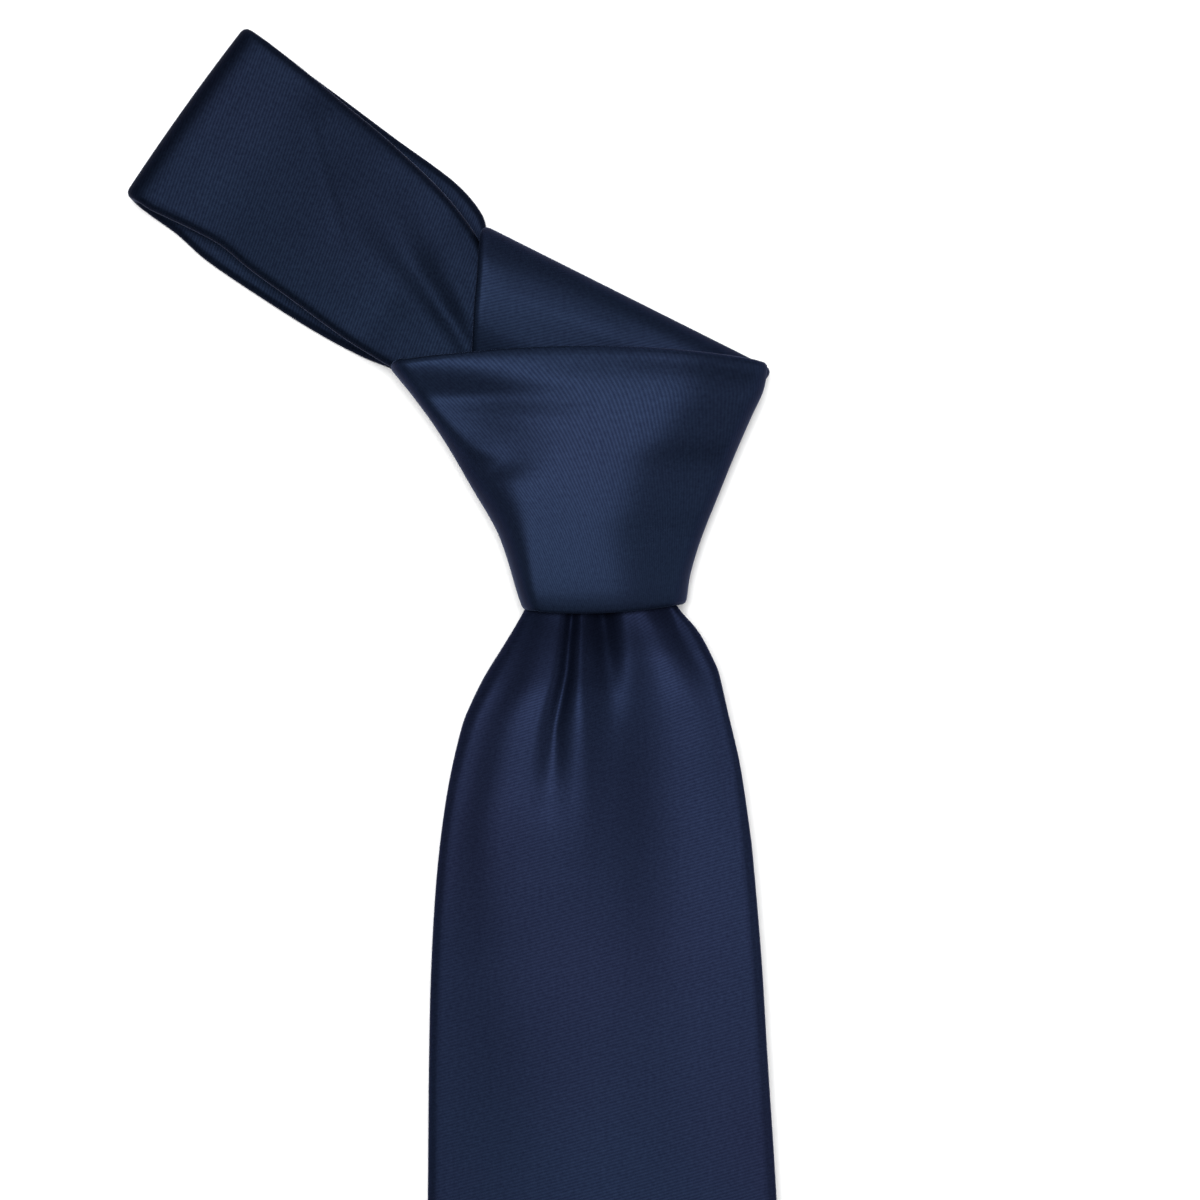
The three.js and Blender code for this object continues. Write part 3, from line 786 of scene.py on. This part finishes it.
wrap = {
    "thick": 2.4,
    "columns": 57,
    "rows": {"front": 66, "side": 12, "flap": 9, "behind": 44},
    "leftSpan": (-24.2, 45.0),  # lower end and height of the strip at each side
    "rightSpan": (-22.9, 44.2),
    "bow": (-1.1, 4.4),  # how far its lower edge sags and its upper edge rises in between
    "sideHeight": (9.0, 2.0),  # height of the outermost line of each side, and its rise
    "rightRound": 3.2,
    "tuck": 4.5,  # how far each side turns in under the front
    "underRight": 0.5,
    "underLeft": 3.9,
    "flapReach": 13.0,
    "flapNarrowing": 0.25,
    # lower and upper edge of the strip behind the knot, after its right side
    "behind": [
        [(8.5, -23.2, 0.45), (21, 13.5, 0.5)],
        [(3, -22.7, 0.4), (12, 6.2, 0.45)],
        [(-6, -21.8, 0.4), (-3, 1.8, 0.4)],
        [(-13.5, -19.8, 0.8), (-15, 2.6, 0.8)],
        [(-16.5, -18.5, 2.2), (-20.5, 3.0, 2.4)],
        [(-16.0, -18.0, 4.6), (-20, 3.2, 5.0)],
    ],
    "behindPlaces": [0, 6, 13, 27, 38, 43, 46],
    "pleats": 0.35,
    "left": [(-26.5, -14.2), (-24.9, -15.5), (-21.7, -16.7), (-14.6, -18.8), (-9.2, -20.9), (-1.7, -25.3),
             (7.5, -30.7), (15.1, -36), (21.3, -41), (24, -43)],
    "right": [(-26, 15), (-22.7, 15.9), (-18.4, 16.5), (-11.4, 18.6), (-2.8, 22), (5.3, 25.3), (12.8, 28.6),
              (17.1, 30.6), (21.9, 31.4), (24, 31.6)],
    "top": [(0, 19.3), (0.05, 19.9), (0.2, 20.35), (0.5, 20.7), (0.8, 20.9), (0.95, 20.3), (1, 19.7)],
    # where the right-hand face starts to fall away, and how steeply
    "ridge": [(-26, 5), (-20, 4.5), (-11, 3.5), (-6, 5.5), (-2, 6.5), (3, 8), (7, 12), (12, 15),
              (16.5, 17.5), (22, 18)],
    "ridgeSoftness": 2.2,
    "fall": 0.42,
    "leftRound": [(-26, 3.5), (-20, 4), (-11, 6.2), (-5, 9), (2, 10.5), (6, 6.5), (10, 3.5), (16, 3),
                  (24, 4)],
    # the left-hand face rises to the middle
    "leftFace": {
        "place": [(-26, -14), (3, -17), (8, -18.5), (12, -21), (16, -20), (24, -24)],
        "width": [(-26, 8), (8, 8), (16, 10), (24, 10)],
        "drop": [(-26, 0), (-2, 0), (3, -1.4), (8, -3.2), (12, -3.8), (16, -3.4), (19, -1.3), (22, 0),
                 (24, 0)],
    },
    "folds": [
        [(8, 22.4, 1.1, -0.25), (20, 21.6, 1.0, -0.5), (29.5, 20.2, 0.9, -0.7)],
        [(-34, 19.6, 1.8, -0.25), (8, 22.6, 1.4, -0.2)],
        [(-34, 17, 2.4, -0.3), (-22, 16, 2.8, -0.6), (-8, 15, 2.6, -0.3)],
        [(-27, 2.8, 2.0, -0.7), (-20.5, 2.2, 2.2, -0.9), (-14, 4.8, 2.2, -0.2)],
    ],
}


def wrapFrontHeight(x, y, g, right):
    # height of the front of the knot over the surface
    top = curveOver(wrap["top"], g)
    ridge = curveOver(wrap["ridge"], y)
    width = np.maximum(right - ridge, 3)
    q = (x - ridge) / width
    sharp = width / wrap["ridgeSoftness"]
    fall = wrap["fall"] * width * np.log1p(np.exp(np.clip(q * sharp, -30, 30))) / sharp
    rise = curveOver(wrap["leftFace"]["drop"], y)
    return top - fall + rise + slopeAcross(x, y, wrap["leftFace"]) + folds(x, y, wrap["folds"])


def wrapSide(edge, height, tuck, under):
    # rows round one side of the knot, from its front down to its back
    rows = []
    for turn in np.linspace(0, math.pi / 2, wrap["rows"]["side"])[1:]:
        row = edge.copy()
        row[:, 0] += tuck * (1 - math.cos(turn))
        row[:, 2] = height - (height - under) * math.sin(turn)
        rows.append(row)
    return rows


def wrapFace():
    # the wide end's pass: behind the knot, round its right side, across the front, round its left side
    rows = wrap["rows"]
    g = np.linspace(0, 1, wrap["columns"])
    f = (0.5 - 0.5 * np.cos(np.linspace(0, math.pi, rows["front"])))[::-1]
    yLeft, yRight = [low + height * g for low, height in (wrap["leftSpan"], wrap["rightSpan"])]
    bow = 4 * f * (1 - f)
    y = f[:, None] * yRight + (1 - f)[:, None] * yLeft
    y = y + bow[:, None] * (wrap["bow"][0] + wrap["bow"][1] * g**2)[None]
    left, right = curveOver(wrap["left"], y), curveOver(wrap["right"], y)
    x = left + f[:, None] * (right - left)
    gg = np.repeat(g[None], len(f), axis=0)
    z = wrapFrontHeight(x, y, gg, right)
    sideZ = wrap["sideHeight"][0] + wrap["sideHeight"][1] * gg
    roundLeft = np.clip((x - left) / curveOver(wrap["leftRound"], y), 0, 1)
    roundRight = np.clip((right - x) / wrap["rightRound"], 0, 1)
    edge = np.minimum((1 - (1 - roundLeft) ** 2.3) ** (1 / 2.3), (1 - (1 - roundRight) ** 2) ** 0.5)
    z = sideZ + (z - sideZ) * edge
    front = np.stack([x, y, z], axis=-1)
    rightSide = wrapSide(front[0], sideZ[0], -wrap["tuck"], wrap["underRight"])
    leftSide = wrapSide(front[-1], sideZ[-1], wrap["tuck"], wrap["underLeft"])
    flap = []
    for step in np.linspace(0, 1, rows["flap"])[1:]:
        row = leftSide[-1].copy()
        row[:, 0] += wrap["flapReach"] * step
        row[:, 1] *= 1 - wrap["flapNarrowing"] * step
        flap.append(row)
    places = wrap["behindPlaces"]
    control = [[rightSide[-1][0], rightSide[-1][-1]], *wrap["behind"]]
    behind = patch(control, places, [0, 1], np.linspace(places[0], places[-1], rows["behind"]), g)
    share = np.linspace(0, 1, rows["behind"])[:, None]
    pleat = wrap["pleats"] * np.sin(g * 3 * math.pi + share * 1.2) * np.sin(share * math.pi)
    behind[..., 2] += np.maximum(pleat, -0.2)
    return np.concatenate([behind[::-1], rightSide[::-1][1:], front, leftSide, flap])


wrapRows = softened(wrapFace(), 2)
wrapWidth = np.linalg.norm(wrapRows[:, -1] - wrapRows[:, 0], axis=-1)
knotWrap = shell("knotWrap", wrapRows, wrap["thick"], wrapWidth)[0]
fitted(knotWrap, wrapSatin, "shell_satin", "knot", "knot_front_wrap", "knot_back_wrap")

lastPass = {
    "thick": 2.5,
    "gathered": 56.0,  # width of the cloth gathered in the strip
    "slope": -26.5,  # slope of the fold over the top, degrees
    "crest": 43.6,  # where along the strip that fold is
    "foldsFrom": (52.0, 6.0),  # where its ridges start, and over what length
    # left end and right end of the strip, from behind the knot, over its top and down its front
    "lines": [
        ((-28.0, 12.5, 4.0), (-8.0, -10.5, 4.0)),
        ((-24.5, 25.0, 3.9), (5.5, -1.0, 4.0)),
        ((-22.8, 36.5, 3.8), (19.0, 9.0, 3.9)),
        ((-23.4, 43.0, 3.7), (28.2, 17.0, 3.8)),
        ((-22.3, 47.2, 5.4), (30.2, 20.6, 4.6)),
        ((-21.9, 48.3, 10.2), (31.1, 21.9, 8.4)),
        ((-22.1, 47.0, 14.6), (30.2, 20.4, 11.8)),
        ((-22.7, 42.6, 16.9), (28.0, 17.0, 12.6)),
        ((-23.2, 37.0, 17.1), (25.0, 13.0, 11.8)),
        ((-23.8, 30.0, 16.8), (21.0, 9.0, 11.0)),
        ((-24.1, 22.0, 14.6), (17.0, 4.0, 11.4)),
        ((-22.0, 14.0, 14.6), (13.0, -2.0, 12.4)),
    ],
    "places": [0, 13, 25, 33, 38.2, 43.6, 49.0, 54.4, 60, 68, 76, 84],
    "folds": [
        [(-20, 35, 4.5, 0.35), (0, 28, 4.0, 0.3)],
        [(-14, 38, 2.6, -0.2), (16, 24.5, 2.0, -0.3)],
    ],
}


def lastPassFace():
    places = lastPass["places"]
    along = np.linspace(places[0], places[-1], 96)
    face = patch(lastPass["lines"], places, [0, 1], along, np.linspace(1, 0, 53))
    start, length = lastPass["foldsFrom"]
    onFront = np.clip((along - start) / length, 0, 1)[:, None]
    face[..., 2] += folds(face[..., 0], face[..., 1], lastPass["folds"]) * onFront
    return face


def lastPassMap(face):
    # the strip laid flat again: what lies behind the fold is turned back out over it
    slope = math.radians(lastPass["slope"])
    foldAlong = np.array([math.cos(slope), math.sin(slope)])
    foldDown = np.array([math.sin(slope), -math.cos(slope)])
    along = np.linspace(lastPass["places"][0], lastPass["places"][-1], len(face))
    crest = int(np.argmin(np.abs(along - lastPass["crest"])))
    down = face[..., :2] @ foldDown
    steps = np.hypot(np.diff(down, axis=0), np.diff(face[..., 2], axis=0))
    run = np.concatenate([np.zeros((1, face.shape[1])), np.cumsum(steps, axis=0)])
    run = run - run[crest]
    beside = face[..., :2] @ foldAlong
    return beside[..., None] * foldAlong + run[..., None] * foldDown


passRows = lastPassFace()
knotLastPass = shell(
    "knotLastPass", passRows, lastPass["thick"], lastPass["gathered"], faceMap=lastPassMap(passRows))[0]
fitted(knotLastPass, passSatin, "shell_satin", "knot", "knot_last_pass")

crossing = {"thick": 2.6, "inset": 1.2, "topInset": 1.0, "rise": 0.2, "long": 26, "wide": 13.0}


def boxOf(node):
    # lowest and highest corners of a plain solid, in millimetres
    return [np.array(corner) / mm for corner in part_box(node)]


def crossingFace():
    (x0, y0, _), (x1, y1, z) = boxOf("knot_first_crossing")
    inset, topInset, middle = crossing["inset"], crossing["topInset"], z + crossing["rise"]
    control = [
        [(x1 - inset, y0 + inset, z), (x1 - topInset, y1 - inset, z)],
        [(0, y0 + inset, middle), (0, y1 - inset, middle)],
        [(x0 + inset, y0 + inset, z), (x0 + topInset, y1 - inset, z)],
    ]
    places = [0, crossing["long"] / 2, crossing["long"]]
    return patch(control, places, [0, 1], np.linspace(0, crossing["long"], 24), np.linspace(0, 1, 21))


knotFirstCrossing = shell("knotFirstCrossing", crossingFace(), crossing["thick"], crossing["wide"])[0]
fitted(knotFirstCrossing, wrapSatin, "shell_satin", "knot", "knot_first_crossing")
print("knot ready")

# the blade

blade = {
    "thick": 3.6,
    "pointThick": 1.4,
    "gathered": 58.5,  # width of the cloth gathered in the strip by the knot
    "gatheredFrom": -74.0,
    "lining": {"inset": 3.2, "depth": 1.1, "thick": 1.0},
    "linedTo": -56.0,
    "tipping": {"inset": 3.6, "depth": 2.3, "thick": 0.3},
    "tippedTo": -335.0,
    "followFrom": -44.0,  # from here the back takes up the relief of the face
    "followOver": 26.0,
    "seamTo": -45.0,
    "taper": 12.0,  # it thins over this length towards the point
    "hem": 9.0,  # width of the folded edge at the point
    "gap": 0.12,  # between the flaps where they are sewn
    "openFlap": 10.0,  # width of a flap where the back is open
    "blunt": 0.6,
    "rows": (34, 62, 100),
    "columns": 81,
    "fineFrom": -120.0,
    "top": -19.0,
    "shoulder": -423.0,
    "mouth": -385.0,
    "tip": float(boxOf("blade_shell")[0][1]),
    "tipAcross": 6.3,
    "tipHalf": 0.9,
    "left": [(-19, -12.5), (-22, -13.5), (-25.4, -15.4), (-32.4, -19.6), (-37.3, -22.5), (-42.2, -24.9),
             (-47.1, -26.9), (-59.3, -29.8), (-74, -31.8), (-92, -33), (-110, -33.5), (-138, -33.8),
             (-423, -37.07)],
    "right": [(-19, 12.6), (-22, 13.6), (-24.6, 15), (-28.9, 18.6), (-33.9, 21.5), (-37.3, 23), (-50.5, 25.9),
              (-56.9, 26.9), (-74, 28.6), (-92, 30.1), (-110, 31.2), (-138, 33), (-423, 47.93)],
    "height": [(-466, 6.5), (-400, 9.2), (-320, 10.6), (-200, 11.9), (-138, 12.9), (-92, 14.4), (-59, 15.6),
               (-42, 16.0), (-34, 14.6), (-28, 12.5), (-22, 10.9), (-19, 10.4)],
    # extra thickness by the knot
    "bunched": [(-466, 0), (-62, 0), (-46, 0.8), (-34, 1.4), (-26, 0.4), (-19, 0)],
    "rightFace": {
        "place": [(-466, 9), (-135, 9), (-94, 8), (-75, 6), (-66, 5.5), (-56, 4.5), (-42, 4), (-28, 5),
                  (-19, 5)],
        "width": [(-466, 9), (-135, 9), (-94, 8), (-66, 7.5), (-40, 7), (-19, 5)],
        "drop": [(-466, 0.1), (-380, 0.2), (-200, 0.7), (-120, 1.0), (-94, 1.8), (-75, 3.2), (-60, 4.2),
                 (-40, 4.2), (-28, 2.4), (-19, 2)],
    },
    "leftFace": {
        "place": [(-466, -20), (-135, -20), (-94, -24), (-75, -25), (-66, -24.5), (-56, -22.5), (-46, -20),
                  (-37, -15.5), (-24, -12.5), (-19, -12)],
        "width": [(-466, 13), (-135, 13), (-94, 7.5), (-75, 4.7), (-66, 3.6), (-46, 3), (-37, 2.4),
                  (-24, 2), (-19, 2)],
        "drop": [(-466, -0.1), (-400, -0.8), (-300, -2.2), (-200, -3.2), (-135, -3.0), (-113, -2.5),
                 (-94, -2.0), (-75, -1.9), (-56, -1.9), (-37, -1.6), (-24, -1.2), (-19, -1)],
    },
    "folds": [
        [(-5.8, -22, 1.1, -2.4), (-7.2, -37, 1.4, -2.2), (-9.4, -47, 1.7, -1.5), (-10.4, -60, 2.8, -0.3)],
        [(-4.2, -22, 1.6, 0.4), (-4.8, -36, 1.9, 0.4), (-4.2, -46, 2.4, 0.7), (-4.5, -60, 3.2, 0.4),
         (-5, -75, 4, 0.1)],
        [(-0.9, -22, 2.4, -4.5), (0.2, -32, 2.8, -3.0), (0.8, -40, 3, -1.0), (1, -48, 3, -0.2)],
        [(6.5, -22, 2.4, 0.6), (14, -36, 3.2, 0.6), (19, -46, 4, 0.4), (22, -60, 5, 0.2)],
        [(12.2, -22, 1.5, -1.8), (14.5, -29, 1.5, -1.1), (18.5, -36, 1.5, -0.2)],
    ],
}


def stripRows(part):
    # places of the rows, from the point up into the knot, and how thick the strip is at each
    pointRows, plainRows, fineRows = part["rows"]
    y = np.concatenate([
        np.linspace(part["tip"] + part["blunt"], part["shoulder"], pointRows)[:-1],
        np.linspace(part["shoulder"], part["fineFrom"], plainRows)[:-1],
        np.linspace(part["fineFrom"], part["top"], fineRows)])
    full = np.clip((y - part["tip"]) / part["taper"], 0, 1)
    return y, full * (part["thick"] - part["pointThick"]) + part["pointThick"]


def pointShare(part, y):
    # 0 at the point, 1 at the shoulder
    return np.clip((y - part["tip"]) / (part["shoulder"] - part["tip"]), 0, 1)


def slitOf(part, y, half):
    # share of the half width that the flaps leave open: next to nothing, then the mouth, then the hem
    opened = np.clip((part["mouth"] - y) / (part["mouth"] - part["shoulder"]), 0, 1)
    slit = (part["gap"] + opened * (half - part["openFlap"])) / half
    return np.where(y < part["shoulder"], np.clip(1 - part["hem"] / half, 0.02, 1), slit)


def seamOf(part, y, back, under):
    # the line of the seam down the middle of the back, just outside the cloth
    middle = back[:, back.shape[1] // 2]
    rows = [i for i in range(len(y)) if part["mouth"] < y[i] < part["seamTo"]]
    return [(float(middle[i][0]), y[i], float(middle[i][2]) - under) for i in rows]


def bladeEdges(y):
    edges = []
    for side, half in (("left", -blade["tipHalf"]), ("right", blade["tipHalf"])):
        tip = blade["tipAcross"] + half
        toPoint = tip + pointShare(blade, y) * (blade[side][-1][1] - tip)
        edges.append(np.where(y < blade["shoulder"], toPoint, curve(blade[side], y)))
    return edges


def bladeFace():
    y, thick = stripRows(blade)
    left, right = bladeEdges(y)
    columns = np.linspace(0, 1, blade["columns"])
    inward = thick + curve(blade["bunched"], y)
    inset = np.minimum(inward / 2, (right - left) / 2 - 0.3)
    x = (left + inset)[:, None] + (right - left - 2 * inset)[:, None] * columns[None]
    yy = np.repeat(y[:, None], len(columns), axis=1)
    plain = (curve(blade["height"], y) + thick / 2)[:, None] + 0.4 * (1 - np.abs(2 * columns - 1) ** 4)[None]
    relief = folds(x, yy, blade["folds"]) * (0.3 + 0.7 * np.clip(6 * columns * (1 - columns), 0, 1))[None]
    relief += slopeAcross(x, yy, blade["rightFace"]) + slopeAcross(x, yy, blade["leftFace"])
    relief += curve(blade["leftFace"]["drop"], y)[:, None]
    relief += 0.5 * curve(blade["rightFace"]["drop"], y)[:, None]
    follow = np.clip((blade["followFrom"] - yy) / blade["followOver"], 0, 1)
    back = plain - inward[:, None] + relief * follow
    return np.stack([x, yy, plain + relief], axis=-1), np.stack([x, yy, back], axis=-1), y, right - left


bladeRows, bladeUnder, bladeY, bladeFlat = bladeFace()
bladeSlit = slitOf(blade, bladeY, bladeFlat / 2)
bladeWidth = np.maximum(bladeFlat, np.where(bladeY > blade["gatheredFrom"], blade["gathered"], 0))
bladeShell, bladeBack = shell("bladeShell", bladeRows, None, bladeWidth, bladeSlit, back=bladeUnder)
finished(bladeShell, bladeSatin)
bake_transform(bladeShell)
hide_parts("blade_shell")
lined = slice(5, int(np.searchsorted(bladeY, blade["linedTo"])))
bladeLining = layer("bladeInterlining", bladeRows, lined, **blade["lining"])
fitted(bladeLining, liningCloth, "interlining", "blade", "blade_interlining")
tipped = slice(4, int(np.searchsorted(bladeY, blade["tippedTo"])))
bladeTipping = layer("bladeTipping", bladeRows, tipped, **blade["tipping"])
fitted(bladeTipping, tippingCloth, "tipping", "blade", "blade_tipping")
print("blade ready")

# sewing and small pieces on the back of the blade


def bladeBackAt(x, y):
    # height of the blade's back over the surface
    row = np.argmin(np.abs(bladeY - y))
    line = bladeBack[row]
    return float(np.interp(x, line[:, 0], line[:, 2]))


bladeSeam = seamOf(blade, bladeY, bladeBack, 0.15)
bladeStitches = stitchesOn(
    "bladeSlipStitches", bladeSeam, navyStitches, "blade", "bladeSlip", "blade_slip_thread")
tackLow, tackHigh = boxOf("blade_bar_tack")
tackY = float(tackLow[1] + tackHigh[1]) / 2
tackX = np.linspace(tackLow[0] + 0.3, tackHigh[0] - 0.3, 12)
tackPath = [(x, tackY, bladeBackAt(x, tackY) - 0.2) for x in tackX]
bladeTack = stitchesOn("bladeBarTack", tackPath, navyStitches, "blade", "bladeTack", "blade_bar_tack")

keeper = {
    "thick": 0.9,
    "wide": 12.0,
    "wall": 0.25,
    "slack": 2.4,  # how far it bows over the tail
    "held": 0.92,  # share of the half length beyond which it lies flat
    "ease": 0.25,
    "rows": 60,
    "columns": 13,
}


def keeperFace():
    low, high = boxOf("keeper_loop")
    x = np.linspace(low[0], high[0], keeper["rows"])
    share = np.abs(x - (high[0] + low[0]) / 2) / ((high[0] - low[0]) / 2)
    ease = np.clip((keeper["held"] - share) / keeper["ease"], 0, 1)
    drop = keeper["slack"] * ease**2 * (3 - 2 * ease)
    grid = np.zeros((keeper["rows"], keeper["columns"], 3))
    grid[..., 0] = x[:, None]
    grid[..., 1] = np.linspace(low[1] + 0.5, high[1] - 0.5, keeper["columns"])[None]
    grid[..., 2] = (high[2] - keeper["thick"] - drop)[:, None]
    return grid


keeperLoop = shell("keeperLoop", keeperFace(), keeper["thick"], keeper["wide"], wall=keeper["wall"])[0]
fitted(keeperLoop, bladeSatin, "shell_satin", "blade", "keeper_loop")
for side in ("left", "right"):
    low, high = boxOf("keeper_tack_" + side)
    x, z = (low[0] + high[0]) / 2, (low[2] + high[2]) / 2
    path = [(x, y, z + 0.1) for y in np.linspace(low[1] + 0.3, high[1] - 0.3, 8)]
    stitchesOn(
        "keeperTack" + side.capitalize(), path, navyStitches, "blade", "keeperTack", "keeper_tack_" + side)

labels = {"seamInset": 1.1, "makerWave": 0.1, "careWave": 0.18, "rows": 41, "columns": 21}


def label(name, node, material, wave):
    # a small woven label over the place the frame gives it, its face to the back, and where its seam runs
    low, high = boxOf(node)
    xs, ys = np.linspace(low[0], high[0], labels["rows"]), np.linspace(low[1], high[1], labels["columns"])
    grid = np.zeros((len(xs), len(ys), 3))
    grid[..., 0] = xs[:, None]
    grid[..., 1] = ys[None]
    ripple = wave * np.sin((xs - low[0]) * 0.35)[:, None] * np.sin((ys - low[1]) * 0.5 + 0.6)[None]
    grid[..., 2] = (low[2] + high[2]) / 2 - 0.2 + ripple
    uv = np.stack([grid[..., 1], grid[..., 0]], axis=-1)
    piece = walled(meshFrom(name, grid, uv), high[2] - low[2])
    fitted(piece, material, "woven_label", "blade", node)
    x0, y0, z = low + (labels["seamInset"], labels["seamInset"], -0.05)
    x1, y1 = high[:2] - labels["seamInset"]
    return piece, [(x0, y0, z), (x1, y0, z), (x1, y1, z), (x0, y1, z)]


makerLabel, corners = label("makerLabel", "maker_label", labelCloth, labels["makerWave"])
labelStitches = stitchesOn(
    "makerLabelStitches", [*corners, corners[0]], navyStitches, "blade", "makerLabel")
careLabel, corners = label("careLabel", "care_label", careCloth, labels["careWave"])
careStitches = stitchesOn("careLabelStitches", corners[:1:-1], paleStitches, "blade", "careLabel")
print("back of the blade ready")

# the tail

tailLow, tailHigh = boxOf("tail_shell")
tail = {
    "thick": 2.8,
    "pointThick": 1.2,
    "wall": 0.35,
    "gathered": 34.0,
    "gatheredFrom": -80.0,
    "lining": {"inset": 2.4, "depth": 0.9, "thick": 0.8},
    "tipping": {"inset": 2.8, "depth": 1.85, "thick": 0.25},
    "tippedTo": -372.0,
    "seamTo": -45.0,
    "taper": 10.0,
    "hem": 6.0,
    "gap": 0.12,
    "openFlap": 7.0,
    "blunt": 0.5,
    "tipHalf": 0.9,
    "rows": (20, 54, 60),
    "columns": 41,
    "fineFrom": -110.0,
    "top": float(tailHigh[1]),
    "shoulder": -427.0,
    "mouth": -400.0,
    "tip": float(tailLow[1]),
    "half": [(-427, 23), (-250, 20), (-100, 17.6), (-84, 17.2), (-70, 14.6), (-56, 11), (-46, 10.2),
             (-9, 10.2)],
    "middle": [(-450, 3.6), (-140, 0.6), (-70, 0), (-9, 0)],
    "height": [(-450, 2.7), (-9, 5.1)],
}


def tailFace():
    y, thick = stripRows(tail)
    toPoint = tail["tipHalf"] + pointShare(tail, y) * (tail["half"][0][1] - tail["tipHalf"])
    half = np.where(y < tail["shoulder"], toPoint, curve(tail["half"], y))
    columns = np.linspace(-1, 1, tail["columns"])
    inset = np.minimum(thick / 2, half - 0.3)
    x = curve(tail["middle"], y)[:, None] + (half - inset)[:, None] * columns[None]
    z = (curve(tail["height"], y) + thick / 2)[:, None] - 0.25 * (columns**4)[None]
    z = z + 0.12 * np.sin(y / 31)[:, None] * columns[None]
    yy = np.repeat(y[:, None], len(columns), axis=1)
    return np.stack([x, yy, z], axis=-1), y, half, thick


tailRows, tailY, tailHalf, tailDepth = tailFace()
tailWidth = np.maximum(2 * tailHalf, np.where(tailY > tail["gatheredFrom"], tail["gathered"], 0))
tailSlit = slitOf(tail, tailY, tailHalf)
tailShell, tailBack = shell("tailShell", tailRows, tailDepth, tailWidth, tailSlit, tail["wall"])
fitted(tailShell, bladeSatin, "shell_satin", "tail", "tail_shell")
tailLining = layer("tailInterlining", tailRows, slice(4, -2), **tail["lining"])
fitted(tailLining, liningCloth, "interlining", "tail", "tail_interlining")
tipped = slice(3, int(np.searchsorted(tailY, tail["tippedTo"])))
tailTipping = layer("tailTipping", tailRows, tipped, **tail["tipping"])
fitted(tailTipping, tippingCloth, "tipping", "tail", "tail_tipping")
tailSeam = seamOf(tail, tailY, tailBack, 0.1)
tailStitches = stitchesOn("tailSlipStitches", tailSeam, navyStitches, "tail", "tailSlip", "tail_slip_thread")
tackLow, tackHigh = boxOf("tail_bar_tack")
tackX = np.linspace(tackLow[0] + 0.3, tackHigh[0] - 0.3, 8)
tackPath = [(x, (tackLow[1] + tackHigh[1]) / 2, tackHigh[2] - 0.1) for x in tackX]
tailTack = stitchesOn("tailBarTack", tackPath, navyStitches, "tail", "tailTack", "tail_bar_tack")
print("tail ready")
